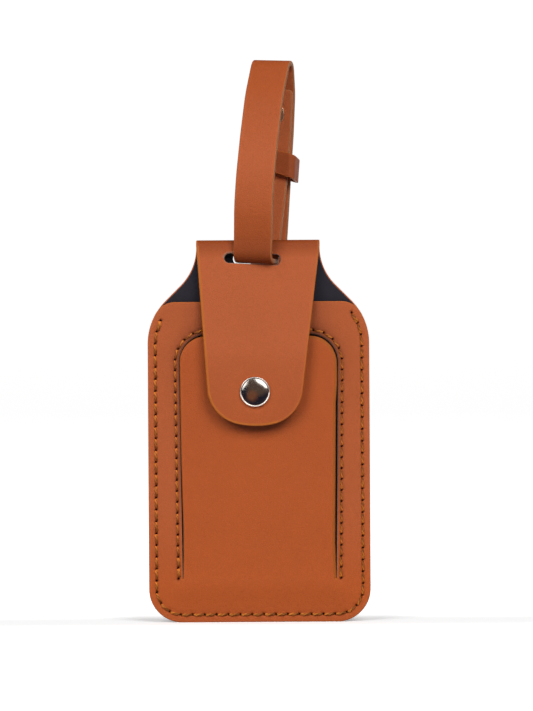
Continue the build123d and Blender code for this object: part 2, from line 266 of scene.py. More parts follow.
def rounded(corners, closed=True, step=0.5):
    """Points along straight runs and the arcs that round their corners, each (x, y, radius)."""
    count = len(corners)
    spots = np.array([c[:2] for c in corners], float)
    points = []
    for i, (x, y, radius) in enumerate(corners):
        if radius == 0 or (not closed and i in (0, count - 1)):
            points.append(spots[i][None])
            continue
        before = spots[i - 1] - spots[i]
        after = spots[(i + 1) % count] - spots[i]
        before, after = before / np.linalg.norm(before), after / np.linalg.norm(after)
        half = math.acos(max(-1, min(1, float(before @ after)))) / 2
        middle = (before + after) / np.linalg.norm(before + after)
        centre = spots[i] + middle * radius / math.sin(half)
        start = spots[i] + before * radius / math.tan(half) - centre
        turn = math.pi - 2 * half
        side = math.copysign(1, before[1] * after[0] - before[0] * after[1])
        pieces = max(3, math.ceil(turn * max(radius, 1.5) / step))
        angles = side * np.linspace(0, turn, pieces + 1)
        arc = np.outer(np.cos(angles), start) + np.outer(np.sin(angles), (-start[1], start[0]))
        points.append(centre + arc)
    loop = np.vstack(points)
    return even(loop, closed, step)


def even(points, closed, step):
    """Splits the long runs between points into steps, and drops points that lie on the one before."""
    ends = np.roll(points, -1, 0) if closed else points[1:]
    out = []
    for a, b in zip(points, ends):
        length = np.linalg.norm(b - a)
        if length < 0.01:
            continue
        parts = max(1, math.ceil(length / step - 0.5))
        out.append(a + np.outer(np.arange(parts) / parts, b - a))
    if not closed:
        out.append(points[-1:])
    return np.vstack(out)


def add_rows(loop, rows):
    """Adds a point wherever a closed loop crosses one of the given heights."""
    out = []
    for a, b in zip(loop, np.roll(loop, -1, 0)):
        out.append(a)
        low, high = sorted((a[1], b[1]))
        crossed = [r for r in rows if low + 1e-3 < r < high - 1e-3]
        for r in crossed if b[1] > a[1] else reversed(crossed):
            out.append(a + (b - a) * (r - a[1]) / (b[1] - a[1]))
    return np.array(out)


def area(loop):
    """A closed loop's area, negative where it runs clockwise."""
    x, y = loop.T
    return float(np.sum(x * np.roll(y, -1) - np.roll(x, -1) * y)) / 2


def inward(loop):
    """Unit directions, one for each point, to the left of the way that a closed loop runs."""
    along = np.roll(loop, -1, 0) - np.roll(loop, 1, 0)
    along /= np.linalg.norm(along, axis=1)[:, None]
    return np.stack((-along[:, 1], along[:, 0]), 1)


def is_inside(points, loop):
    """Which points lie inside a closed loop."""
    x, y = points[:, 0, None], points[:, 1, None]
    (x0, y0), (x1, y1) = loop.T, np.roll(loop, -1, 0).T
    crosses = (y0 > y) != (y1 > y)
    with np.errstate(divide="ignore", invalid="ignore"):
        at = x0 + (y - y0) * (x1 - x0) / (y1 - y0)
    return (np.sum(crosses & (x < at), 1) % 2).astype(bool)


def on_sheet(points, loops):
    """Which points lie inside the first loop and outside the others."""
    keep = is_inside(points, loops[0])
    for hole in loops[1:]:
        keep &= ~is_inside(points, hole)
    return keep


def nearest(points, others):
    """Each point's distance to the nearest of the others."""
    best = np.full(len(points), np.inf)
    for chunk in np.array_split(others, max(1, len(others) // 200)):
        gap = np.linalg.norm(points[:, None] - chunk[None], axis=2).min(1)
        best = np.minimum(best, gap)
    return best


def at_length(points, lengths):
    """Places at the given lengths along an open line, with the direction there."""
    steps = np.linalg.norm(np.diff(points, axis=0), axis=1)
    run = np.concatenate(([0], np.cumsum(steps)))
    places = np.stack([np.interp(lengths, run, points[:, k]) for k in range(points.shape[1])], 1)
    reach = 0.05
    ahead = np.stack([np.interp(lengths + reach, run, points[:, k]) for k in range(points.shape[1])], 1)
    behind = np.stack([np.interp(lengths - reach, run, points[:, k]) for k in range(points.shape[1])], 1)
    along = ahead - behind
    return places, along / np.linalg.norm(along, axis=1)[:, None]


def line_length(points):
    """Length of an open line."""
    return float(np.linalg.norm(np.diff(points, axis=0), axis=1).sum())


def mirrored(corners):
    """The corners of the right half, bottom to top, and their mirror images down the left."""
    return corners + [(-x, y, r) for x, y, r in reversed(corners)]


def body_outline(top):
    """The back's outline: rounded foot, shoulders that curve in, and the neck up to a height."""
    half, neck = BODY_W / 2, NECK_W / 2
    return mirrored([
        (half, 0, FOOT_CORNER_R),
        (half, SHOULDER_H, SHOULDER_R),
        (neck, SHOULDER_H + half - neck, NECK_R),
        (neck, top, 0),
    ])


def front_outline():
    """The front's outline, where the shoulder's arc runs into the eased corner of the mouth."""
    arc_h = SHOULDER_H - SHOULDER_R * math.tan(math.pi / 8)
    rise = FRONT_H - MOUTH_CORNER_R - arc_h
    turn = math.asin(rise / (SHOULDER_R - MOUTH_CORNER_R))
    corner_x = BODY_W / 2 - SHOULDER_R + (SHOULDER_R - MOUTH_CORNER_R) * math.cos(turn)
    return mirrored([
        (BODY_W / 2, 0, FOOT_CORNER_R),
        (BODY_W / 2, arc_h + SHOULDER_R * math.tan(turn / 2), SHOULDER_R),
        (corner_x + MOUTH_CORNER_R * math.tan(math.pi / 4 - turn / 2), FRONT_H, MOUTH_CORNER_R),
    ])


def arch_corners(inset, foot_h, foot_r=0):
    """The arched slit's outline, grown or shrunk by an inset."""
    return mirrored([
        (ARCH_FOOT_W / 2 - inset, foot_h, foot_r),
        (ARCH_TOP_W / 2 - inset, ARCH_TOP_H - inset, ARCH_R - inset),
    ])


def slot_corners(x, y, trim=0.0, rise=(0.0, 0.0), sag=0.0):
    """A slot round a middle.

    trim shortens it, rise lifts its lower corners, right and left, and sag lowers its upper edge.
    """
    half_w, half_h = SLOT_W / 2 - trim, SLOT_H / 2
    end_r = (half_h - sag / 2) * 0.999 - max(rise) / 2
    return [(x + half_w, y - half_h + rise[0], end_r), (x + half_w, y + half_h - sag, end_r),
            (x - half_w, y + half_h - sag, end_r), (x - half_w, y - half_h + rise[1], end_r)]


# ---- Where flat sheets lie in space


class Bend:
    """Carries flat points (across, along) onto a sheet that follows a line in its side view."""

    def __init__(self, line, origin, across, out, up):
        steps = np.linalg.norm(np.diff(line, axis=0), axis=1)
        self.run = np.concatenate(([0], np.cumsum(steps)))
        self.line = line
        along = np.gradient(line, self.run, axis=0)
        along /= np.linalg.norm(along, axis=1)[:, None]
        self.normal = np.stack((-along[:, 1], along[:, 0]), 1)
        self.origin, self.across = np.array(origin, float), np.array(across, float)
        self.out, self.up = np.array(out, float), np.array(up, float)

    def place(self, flat, offset):
        """Points in space, in metres, for flat points at offsets to the left of the line."""
        side = np.stack([np.interp(flat[:, 1], self.run, self.line[:, k]) for k in (0, 1)], 1)
        normal = np.stack([np.interp(flat[:, 1], self.run, self.normal[:, k]) for k in (0, 1)], 1)
        normal /= np.linalg.norm(normal, axis=1)[:, None]
        side = side + normal * offset[:, None]
        spot = self.origin + np.outer(flat[:, 0], self.across)
        return (spot + np.outer(side[:, 0], self.out) + np.outer(side[:, 1], self.up)) * MM


def flat_place(flat, offset):
    """Points of the pouch, in metres, for flat (x, height) points at depths."""
    spot = np.stack((POUCH[0] + flat[:, 0], POUCH[1] - offset, POUCH[2] + flat[:, 1]), 1)
    return spot * MM


def walk(start, heading, moves, step=0.1):
    """A line of points from a start, through (length, turn in degrees) moves."""
    points, spot, angle = [np.array(start, float)], np.array(start, float), math.radians(heading)
    for length, turn in moves:
        count = max(2, math.ceil(length / step))
        for _ in range(count):
            angle += math.radians(turn) / count / 2
            spot = spot + np.array((math.cos(angle), math.sin(angle))) * length / count
            angle += math.radians(turn) / count / 2
            points.append(spot)
    return np.array(points)


FOLD_CENTRE_H = BACK_H - LEATHER_T - FOLD_R
BEND_TURN = 180 - FLARE_TURN
flare = math.radians(FLARE_TURN)
flare_run = (
    FLAP_D - LEATHER_T - FOLD_R * (1 + math.cos(flare)) - FLARE_R * (1 - math.cos(flare))
) / math.sin(flare)
fold_line = walk((LEATHER_T, 0), 90, [
    (FOLD_CENTRE_H, 0),
    (FOLD_R * math.radians(BEND_TURN), -BEND_TURN),
    (flare_run, 0),
    (FLARE_R * flare, -FLARE_TURN),
    (BACK_H, 0),
])
FOLD_END_S = FOLD_CENTRE_H + FOLD_R * math.radians(BEND_TURN)
fold = Bend(fold_line, POUCH, (1, 0, 0), (0, -1, 0), (0, 0, 1))
front_of_fold = fold.run > FOLD_CENTRE_H + FOLD_R * math.pi / 2


def flap_run(height):
    """How far along the folded sheet a height on the front of the flap is."""
    return float(np.interp(-height, -fold.line[front_of_fold, 1], fold.run[front_of_fold]))


def lean(x, height):
    """A point of the flap, seen from the front, after it leans about the top of the fold."""
    turn = math.radians(FLAP_LEAN)
    down = BACK_H - height
    leaned_x = x * math.cos(turn) - down * math.sin(turn)
    return leaned_x, BACK_H - down * math.cos(turn) - x * math.sin(turn)


def turned(degrees, axis):
    """The rotation by degrees about an axis."""
    return Matrix.Rotation(math.radians(degrees), 3, axis)


strap_turn = turned(STRAP_ROLL, "Y") @ turned(-STRAP_YAW, "Z")
STRAP_REAR = np.array(strap_turn @ Vector((0, 1, 0)))
STRAP_ACROSS = np.array(strap_turn @ Vector((1, 0, 0)))
STRAP_UP = np.cross(STRAP_ACROSS, STRAP_REAR)


# ---- Meshes

SHARP_TURN = 50


def new_mesh(name, points, faces, values=None):
    """An object with smooth faces and sharp edges between them, and with named values on its points."""
    mesh = bpy.data.meshes.new(name)
    mesh.from_pydata([tuple(p) for p in points], [], [tuple(int(i) for i in f) for f in faces])
    mesh.validate()
    for face in mesh.polygons:
        face.use_smooth = True
    mesh.set_sharp_from_angle(angle=math.radians(SHARP_TURN))
    for key, numbers in (values or {}).items():
        layer = mesh.attributes.new(key, "FLOAT", "POINT")
        layer.data.foreach_set("value", np.asarray(numbers, np.float32))
    obj = bpy.data.objects.new(name, mesh)
    bpy.context.scene.collection.objects.link(obj)
    return obj


def grid_points(outline, rows, spacing):
    """Even points over an outline's box, on the given rows."""
    low, high = outline[:, 0].min(), outline[:, 0].max()
    columns = np.linspace(low, high, max(3, round((high - low) / spacing)))
    shift = spacing / 4
    return np.array([(x + (shift if k % 2 else -shift), r) for k, r in enumerate(rows) for x in columns])


def triangles(loops, extra):
    """Triangles over the first loop less the others, through extra points. Indices run on through both."""
    corners = np.vstack([*loops, extra]) if len(extra) else np.vstack(loops)
    edges, first = [], 0
    for loop in loops:
        count = len(loop)
        edges += [(first + i, first + (i + 1) % count) for i in range(count)]
        first += count
    made = delaunay_2d_cdt([Vector(p) for p in corners], edges, [], 0, 1e-7)
    if len(made[0]) != len(corners):
        raise RuntimeError(f"outline crosses itself: {len(made[0])} points from {len(corners)}")
    faces = np.array(made[2])
    order = np.array([ids[0] for ids in made[3]])
    faces = order[faces]
    faces = faces[on_sheet(corners[faces].mean(1), loops)]
    a, b, c = (corners[faces[:, k]] for k in range(3))
    flipped = (b - a)[:, 0] * (c - a)[:, 1] - (b - a)[:, 1] * (c - a)[:, 0] < 0
    faces[flipped] = faces[flipped][:, ::-1]
    return corners, faces


class Rim:
    """One loop of a sheet's edge, as rings that step in from it. On a seam the loop is left open."""

    def __init__(self, loop, hole, seam, insets):
        loop = loop if (area(loop) < 0) == hole else loop[::-1]
        moves = inward(loop)
        on_seam = np.abs(loop[:, 1] - seam) < 1e-6 if seam is not None else np.zeros(len(loop), bool)
        self.open, self.hole = bool(on_seam.any()), hole
        self.between = np.zeros((0, 2))
        if self.open:
            first = next(i for i in range(len(loop)) if on_seam[i] and not on_seam[(i + 1) % len(loop)])
            loop, moves, on_seam = (np.roll(v, -first, 0) for v in (loop, moves, on_seam))
            last = next(i for i in range(1, len(loop)) if on_seam[i])
            inner = loop[last + 1:]
            for corner in (0, last):
                side = math.copysign(1.0, loop[corner, 0])
                moves[corner] = (side if hole else -side, 0)
                reach = 0.1 if hole else insets[-1] + 0.1
                inner = inner[np.abs(inner[:, 0] - loop[corner, 0]) > reach]
            self.between, loop, moves = inner, loop[:last + 1], moves[:last + 1]
        self.rings = [loop + moves * inset for inset in insets]

    def inner_loop(self):
        """The loop that bounds the sheet's flat middle."""
        if not self.open:
            return self.rings[-1]
        ends = [ring[-1] for ring in self.rings[-2::-1]] if self.hole else []
        starts = [ring[0] for ring in self.rings[:-1]] if self.hole else []
        return np.vstack([self.rings[-1], *ends, self.between, *starts])


def rim_faces(rim, first, count):
    """Faces of a rim: strips between its rings, and the wall from its front points to its rear ones.

    first is where its inner loop starts among the points, and count gives the next free index.
    """
    last, size = len(rim.rings) - 1, len(rim.rings[0])
    index = [count + k * size + np.arange(size) for k in range(last)] + [first + np.arange(size)]
    seam = first + size + np.arange(len(rim.inner_loop()) - size)
    if rim.open and rim.hole:
        for k in range(last):
            index[k][-1], index[k][0] = seam[last - 1 - k], seam[len(seam) - last + k]
    i = np.arange(size - 1 if rim.open else size)
    j = (i + 1) % size
    strips = [np.stack((a[i], a[j], b[j], b[i]), 1) for a, b in zip(index, index[1:])]
    path = index[0]
    if rim.open:
        middle = seam[last - 1:len(seam) - last + 1] if rim.hole else np.concatenate(
            ([k[-1] for k in index], seam, [k[0] for k in reversed(index)]))
        path = np.concatenate((path, middle[1:-1]))
    return strips, path


# A rounded edge is a quarter turn in these steps, with further rings on the face inside it
RING_TURNS = np.radians([0, 25, 50, 70, 90])
FACE_RINGS = (0.2, 0.55)
# The hide is paler, by up to a tenth, within about this width of its edges
PALE_EDGE_W = 0.7
LIP_REACH = 0.3
# Rings of points round each of the pits, and how far from pits and from edges the other points stay
PIT_RINGS = (0.13, 0.28, 0.5, 0.8)
PIT_CLEAR, PIT_REACH, PIT_GAP, EDGE_GAP = 0.95, 0.85, 0.1, 0.3


def middle_points(outline, loops, rows, spacing, pits):
    """Points for the mesh over a sheet's flat middle, finer round its pits."""
    extra = grid_points(outline, rows, spacing)
    if len(pits):
        turns = np.linspace(0, 2 * math.pi, 9)[:-1]
        around = [pits + r * np.array((math.cos(t + r), math.sin(t + r))) for r in PIT_RINGS for t in turns]
        extra = np.vstack((extra[nearest(extra, pits) > PIT_CLEAR], pits, *around))
    extra = extra[on_sheet(extra, loops)]
    gap = np.full(len(extra), EDGE_GAP * spacing)
    if len(pits):
        gap[nearest(extra, pits) < PIT_REACH] = PIT_GAP
    return extra[nearest(extra, np.vstack(loops)) > gap]


def sheet(name, outline, holes, place, back, face, edge_r, rows, spacing,
          relief=None, back_relief=None, pits=(), dark=None, lip=None, back_edge_r=None, seam=None):
    """A sheet with rounded edges between two offsets, cut to an outline with holes.

    relief and back_relief add to the offsets over the faces, and pits are points that get a fine mesh.
    dark gives the painted shade at flat points, and lip how much of the cut edge's colour shows on the
    face beside it, for points of the outline or of a hole.
    seam is a height where the sheet runs on into another, so its edge isn't rounded there.
    """
    back_edge_r = edge_r if back_edge_r is None else back_edge_r
    insets = np.concatenate((edge_r * (1 - np.cos(RING_TURNS)), edge_r + np.array(FACE_RINGS)))
    drops = np.concatenate((1 - np.sin(RING_TURNS), np.zeros(len(FACE_RINGS))))
    rims = [Rim(outline, False, seam, insets)] + [Rim(hole, True, seam, insets) for hole in holes]
    loops = [rim.inner_loop() for rim in rims]
    flat, faces = triangles(loops, middle_points(outline, loops, rows, spacing, pits))
    all_flat = np.vstack([flat, *(ring for rim in rims for ring in rim.rings[:-1])])
    total = len(all_flat)
    edge, raw, shown = (np.zeros(total) for _ in range(3))
    inset = np.full(total, np.inf)
    strips, walls = [], []
    first, base = 0, len(flat)
    for rim, loop in zip(rims, loops):
        made, path = rim_faces(rim, first, base)
        strips += made
        walls.append(np.stack((path + total, np.roll(path, -1) + total, np.roll(path, -1), path), 1))
        size = len(rim.rings[0])
        inset[first:first + size] = insets[-1]
        for k, ring in enumerate(rim.rings[:-1]):
            edge[base:base + size], inset[base:base + size] = drops[k], insets[k]
            if lip and k > 1:
                shown[base:base + size] = lip(ring, rim.hole) * (insets[k] < edge_r + LIP_REACH)
            raw[base:base + size] = rim.hole
            base += size
        if rim.open and rim.hole:
            ends = first + size + np.arange(len(loop) - size)
            for k in range(len(insets) - 1):
                for spot in (ends[len(insets) - 2 - k], ends[len(ends) - len(insets) + 1 + k]):
                    edge[spot], inset[spot] = drops[k], insets[k]
        first += len(loop)
    front_offset = face - edge_r * edge + (relief(all_flat) if relief else 0)
    rear_offset = back + back_edge_r * edge + (back_relief(all_flat) if back_relief else 0)
    all_faces = [*faces, *(faces[:, ::-1] + total)]
    for group in strips:
        all_faces += [*group, *(group[:, ::-1] + total)]
    for group in walls:
        all_faces += [*group]
    points = np.vstack((place(all_flat, front_offset), place(all_flat, rear_offset)))
    # The painted shade at each point
    pit = dark(all_flat) if dark else np.zeros(total)
    values = {
        "raw": np.tile(raw, 2),
        "edge": np.tile(np.maximum(edge, shown), 2),
        "rub": np.tile(np.exp(-inset / PALE_EDGE_W), 2),
        "pit": np.concatenate((pit, pit)),
        "face_side": np.concatenate((np.ones(total), np.zeros(total))),
    }
    return new_mesh(name, points, all_faces, values)


# Length of the band's faces, and how wide its join's groove is and how far the edges draw in there
BAND_STEP, JOIN_W, JOIN_PINCH = 0.25, 0.22, 0.03


def band(name, bend, half_h, half_t, edge_r, join_depth):
    """A closed band with rounded edges round a line, with a fine groove where its ends are butted."""
    turns = np.radians([0, 22.5, 45, 67.5, 90])
    straight = np.linspace(-1, 1, 9)[1:-1] * (half_h - edge_r)
    quarter = np.stack((half_h - edge_r * (1 - np.sin(turns)), half_t - edge_r * (1 - np.cos(turns))), 1)
    half = np.vstack((np.stack((straight, np.full(7, half_t)), 1), quarter, (quarter * (1, -1))[::-1]))
    section = np.vstack((half, -half))
    stations = np.linspace(0, bend.run[-1], max(60, round(bend.run[-1] / BAND_STEP)) + 1)[:-1]
    from_join = np.minimum(stations, bend.run[-1] - stations)
    groove = 1 - join_depth * np.exp(-((from_join / JOIN_W) ** 2))
    size, points, faces = len(section), [], []
    for s, share in zip(stations, groove):
        flat = np.stack((section[:, 0] * (1 - JOIN_PINCH + JOIN_PINCH * share), np.full(size, s)), 1)
        points.append(bend.place(flat, section[:, 1] * share))
    for p in range(len(stations)):
        q = (p + 1) % len(stations)
        for i in range(size):
            j = (i + 1) % size
            faces.append((p * size + i, p * size + j, q * size + j, q * size + i))
    lift = np.clip((np.abs(section[:, 0]) - half_h + edge_r) / edge_r, 0, 1)
    rub = np.exp(-(half_h - np.abs(section[:, 0])) / PALE_EDGE_W)
    total = size * len(stations)
    values = {
        "raw": np.zeros(total),
        "edge": np.tile(lift**2, len(stations)),
        "rub": np.tile(rub, len(stations)),
        "pit": np.zeros(total),
        "face_side": np.ones(total),
    }
    return new_mesh(name, np.vstack(points), faces, values)


def lathe(name, profile, centre, axis, turns=72):
    """A turned piece: (radius, height) points spun about an axis, heights along it, in millimetres."""
    axis = Vector(axis).normalized()
    side = axis.orthogonal().normalized()
    other = axis.cross(side)
    points, rings, faces = [], [], []
    for radius, height in profile:
        spot = Vector(centre) + axis * float(height)
        count = turns if radius > 1e-6 else 1
        rings.append(np.arange(len(points), len(points) + count))
        for a in np.linspace(0, 2 * math.pi, count + 1)[:-1]:
            points.append((spot + (side * math.cos(a) + other * math.sin(a)) * float(radius)) * MM)
    for ring, after in zip(rings, rings[1:]):
        for i in range(turns):
            j = (i + 1) % turns
            near = ring[i % len(ring)], ring[j % len(ring)]
            far = after[j % len(after)], after[i % len(after)]
            faces.append(tuple(dict.fromkeys(near + far)))
    for ring in (rings[0][::-1], rings[-1]):
        if len(ring) > 1:
            faces.append(tuple(ring))
    return new_mesh(name, points, faces)


# Points round a thread and along a stitch, and the thread's plies with the length that they twist in
THREAD_SIDES, STITCH_PARTS, PLIES, LAY_L = 18, 20, 2, 3.4


def stitches(name, spans, place, face, away, thread_r, sink):
    """Twisted thread over each (start, end) span of a seam, with both ends down in their holes."""
    sides, parts = THREAD_SIDES, STITCH_PARTS
    angles = np.linspace(0, 2 * math.pi, sides + 1)[:-1]
    points, faces, share, groove = [], [], [], []
    t = np.linspace(0, 1, parts)
    along = (1 - np.cos(math.pi * t)) / 2
    for k, (start, end) in enumerate(spans):
        flat = start + np.outer(along, end - start)
        height = -sink + (sink + thread_r * 0.55) * np.sin(math.pi * t) ** 0.5
        line = place(flat, face(flat) + away * height) / MM
        tangent = np.gradient(line, axis=0)
        tangent /= np.linalg.norm(tangent, axis=1)[:, None]
        out = place(flat, face(flat) + away) / MM - place(flat, face(flat)) / MM
        side = np.cross(tangent, out)
        side /= np.linalg.norm(side, axis=1)[:, None]
        out = np.cross(side, tangent)
        first = len(points) * sides
        run = np.concatenate(([0], np.cumsum(np.linalg.norm(np.diff(line, axis=0), axis=1))))
        taper = 0.72 + 0.28 * np.sin(math.pi * t) ** 0.6
        for p in range(parts):
            phase = 2 * math.pi * run[p] / LAY_L + k
            wave = np.cos(PLIES * (angles - phase))
            lobes = thread_r * taper[p] * (0.9 + 0.2 * wave)
            ring = line[p] + lobes[:, None] * (
                np.outer(np.cos(angles), side[p]) * 1.08 + np.outer(np.sin(angles), out[p]) * 0.9)
            points.append(ring * MM)
            share.append(np.full(sides, t[p]))
            # How deep between the plies, which the thread's finish paints in shade
            groove.append(0.5 - 0.5 * wave)
        for p in range(parts - 1):
            for i in range(sides):
                j = (i + 1) % sides
                faces.append((first + p * sides + i, first + p * sides + j,
                              first + (p + 1) * sides + j, first + (p + 1) * sides + i))
        faces.append(tuple(first + i for i in reversed(range(sides))))
        faces.append(tuple(first + (parts - 1) * sides + i for i in range(sides)))
    values = {"along": np.concatenate(share), "groove": np.concatenate(groove)}
    return new_mesh(name, np.vstack(points), faces, values)


# ---- Shader maths


class Value:
    """A socket, on which arithmetic adds Math nodes."""

    def __init__(self, finish, socket):
        self.finish, self.socket = finish, socket

    def math(self, operation, *others, clamp=False):
        """The result of a Math node on this value and others."""
        made = self.finish.node("ShaderNodeMath", {"operation": operation, "use_clamp": clamp},
                                dict(enumerate((self, *others))))
        return made["Value"]

    def __add__(self, other):
        return self.math("ADD", other)

    def __sub__(self, other):
        return self.math("SUBTRACT", other)

    def __rsub__(self, other):
        return self.math("MULTIPLY_ADD", -1.0, other)

    def __mul__(self, other):
        return self.math("MULTIPLY", other)

    def __pow__(self, other):
        return self.math("POWER", other)

    __radd__ = __add__
    __rmul__ = __mul__


class Finish:
    """A new material, and the one method that adds nodes to it."""

    def __init__(self, name):
        self.material = bpy.data.materials.new(name)
        self.material.use_nodes = True
        self.tree = self.material.node_tree
        self.tree.nodes.clear()

    def node(self, kind, settings=None, inputs=None):
        """Adds a node, sets its settings, then its sockets, and returns its outputs by name."""
        made = self.tree.nodes.new(kind)
        for key, setting in (settings or {}).items():
            if key == "stops":
                ramp = made.color_ramp
                while len(ramp.elements) < len(setting):
                    ramp.elements.new(1.0)
                for element, (at, colour) in zip(ramp.elements, setting):
                    element.position, element.color = at, colour
            else:
                setattr(made, key, setting)
        for key, given in (inputs or {}).items():
            socket = made.inputs[key] if isinstance(key, int) else next(
                s for s in made.inputs if key in (s.identifier, s.name))
            if isinstance(given, Value):
                self.tree.links.new(given.socket, socket)
            else:
                socket.default_value = given
        return {key: Value(self, s) for s in made.outputs for key in (s.name, s.identifier)}

    def mix(self, mask, first, second):
        """One colour over another by a mask."""
        return self.node("ShaderNodeMix", {"data_type": "RGBA"}, {
            "Factor_Float": mask, "A_Color": first, "B_Color": second})["Result_Color"]

    def scaled(self, colour, by):
        """A colour made lighter or darker all over by a value."""
        return self.node("ShaderNodeVectorMath", {"operation": "SCALE"}, {0: colour, "Scale": by})["Vector"]

    def place(self, stretch=(1000.0, 1000.0, 1000.0)):
        """Places on the object in millimetres."""
        spot = self.node("ShaderNodeTexCoord")["Object"]
        return self.node("ShaderNodeVectorMath", {"operation": "MULTIPLY"}, {0: spot, 1: stretch})["Vector"]

    def noise(self, where, scale, detail=2.0, roughness=0.5):
        """A cloudy value, finer with a higher scale."""
        return self.node("ShaderNodeTexNoise", None, {
            "Vector": where, "Scale": scale, "Detail": detail, "Roughness": roughness})["Fac"]

    def painted(self, name):
        """A value kept on the mesh's points."""
        return self.node("ShaderNodeAttribute", {"attribute_name": name})["Fac"]

    def bump(self, height, distance, strength=1.0):
        """A normal that follows a height."""
        return self.node("ShaderNodeBump", None, {
            "Height": height, "Distance": distance, "Strength": strength})["Normal"]

    def surface(self, sockets):
        """The shader and the output, which end the material."""
        shader = self.node("ShaderNodeBsdfPrincipled", None, sockets)["BSDF"]
        self.node("ShaderNodeOutputMaterial", None, {"Surface": shader})
        return self.material


def shade(colour, by):
    """A colour made lighter or darker, with its alpha kept."""
    return (*(min(1.0, c * by) for c in colour[:3]), 1.0)


def hide_colour(f, where, look, steps):
    """The hide's colour by height, with steps as (height, share of the deep tan, tone), lowest first."""
    stops = []
    low, high = steps[0][0], steps[-1][0]
    for height, share, tone in steps:
        blended = [a + (b - a) * share for a, b in zip(look.tan, look.deep_tan)]
        stops.append(((height - low) / max(high - low, 1e-6), shade(blended, tone)))
    if len(stops) == 1:
        return stops[0][1][:3]
    height = f.node("ShaderNodeSeparateXYZ", None, {"Vector": where})["Z"]
    rise = f.node("ShaderNodeMapRange", None, {
        "Value": height, "From Min": float(low), "From Max": float(high)})["Result"]
    return f.node("ShaderNodeValToRGB", {"stops": stops}, {"Fac": rise})["Color"]


# Colour that painted shade darkens the hide to: at needle holes, and on the front in the arch row's groove, beside the
# slit, in the dip to the arch and in the flap's shadow
SHADE_PAINT_COLOUR = (0.008, 0.003, 0.002, 1.0)


def leather_finish(name, look, steps=((0.0, 0.0, 1.0),), edge=None, flesh=None):
    """Smooth tan hide: fine grain, faint clouding, painted edges, raw slots, and painted shade at needle holes and in
    other shaded spots.

    edge is the colour of the cut edge where it isn't the usual paint, and flesh that of the inner side.
    """
    f = Finish(name)
    where = f.place()
    cloud = f.noise(where, 0.06, 3.0)
    fine = f.noise(where, 0.9, 3.0, 0.6)
    cells = f.node("ShaderNodeTexVoronoi", {"feature": "DISTANCE_TO_EDGE"}, {
        "Vector": where, "Scale": MM / look.grain_size})["Distance"]
    crease = f.node("ShaderNodeMapRange", None, {
        "Value": cells, "From Min": 0.0, "From Max": 0.12})["Result"]
    tone = (cloud * 0.12 + 0.94) * (fine * 0.14 + 0.93) * (crease * 0.1 + 0.91)
    colour = hide_colour(f, where, look, steps)
    if flesh:
        colour = f.mix(f.painted("face_side"), shade(flesh, 1.0), colour)
    # Paler towards each edge
    colour = f.scaled(colour, tone * (f.painted("rub") * 0.1 + 1.0))
    ragged = f.noise(where, 1.6, 2.0)
    edge_mask = f.node("ShaderNodeMapRange", None, {
        "Value": f.painted("edge") + (ragged - 0.5) * 0.12, "From Min": 0.02, "From Max": 0.2})["Result"]
    raw = f.mix(ragged, shade(look.raw_edge, 0.35), shade(look.raw_edge, 0.65))
    paint = f.mix(f.painted("raw"), shade(edge or look.edge_paint, 1.0), raw)
    colour = f.mix(edge_mask, colour, paint)
    # Painted shade from the mesh's values, which also dulls the hide there
    hole = f.painted("pit")
    colour = f.mix(hole, colour, SHADE_PAINT_COLOUR)
    height = crease * 0.5 + fine * 0.8 + cloud * 1.5
    return f.surface({
        "Base Color": colour, "Roughness": fine * 0.14 + look.roughness - 0.07 + hole * 0.3,
        "Normal": f.bump(height, look.grain_depth), "Specular IOR Level": look.shine})


WEAVE_W = 0.42


def cloth_finish(name, look):
    """Dark woven lining with a fine two-way weave."""
    f = Finish(name)
    where = f.place()
    parts = f.node("ShaderNodeSeparateXYZ", None, {"Vector": where})
    warp = (parts["X"] * (2 * math.pi / WEAVE_W)).math("SINE")
    weft = (parts["Z"] * (2 * math.pi / WEAVE_W)).math("SINE")
    weave = warp * weft * 0.5 + 0.5
    wear = f.noise(where, 0.5, 3.0)
    colour = f.mix(weave, shade(look.lining, 0.7), shade(look.lining, 1.25))
    fleck = f.node("ShaderNodeMapRange", None, {
        "Value": f.noise(where, 3.2, 1.0), "From Min": 0.68, "From Max": 0.76})["Result"]
    colour = f.mix(fleck * wear * 0.5, colour, shade(look.lining, 3.0))
    normal = f.bump(weave + wear, 0.00008, 0.8)
    return f.surface({
        "Base Color": colour, "Roughness": 0.8, "Normal": normal, "Specular IOR Level": 0.3})


def thread_finish(name, look):
    """Waxed twisted thread, paler where each stitch comes up and darker where it goes down: painted light and shade
    along each stitch, with painted shade between its plies.
    """
    f = Finish(name)
    where = f.place()
    fibre = f.noise(where, 4.0, 3.0, 0.7)
    patch = f.noise(where, 0.35, 1.0)
    end_shade = f.node("ShaderNodeMapRange", None, {
        "Value": f.painted("along") + (patch - 0.5) * 0.5, "From Min": 0.12, "From Max": 0.72})["Result"]
    colour = f.mix(end_shade * 0.85, shade(look.thread, 1.0), shade(look.thread_stain, 1.0))
    # Painted shade in the grooves between the plies
    colour = f.scaled(colour, (fibre * 0.5 + 0.75) * (1.0 - f.painted("groove") ** 2.0 * 0.5))
    return f.surface({
        "Base Color": colour, "Roughness": 0.45, "Normal": f.bump(fibre, 0.00006),
        "Specular IOR Level": 0.15})


def metal_finish(name, colour, roughness):
    """Plated metal with faint handling marks."""
    f = Finish(name)
    where = f.place()
    haze = f.noise(where, 1.2, 4.0)
    marks = f.noise(where, 6.0)
    return f.surface({
        "Base Color": f.mix(haze * 0.3, shade(colour, 1.0), shade(colour, 0.75)),
        "Metallic": 1.0, "Roughness": haze * 0.06 + roughness, "Normal": f.bump(marks, 0.00001, 0.3)})


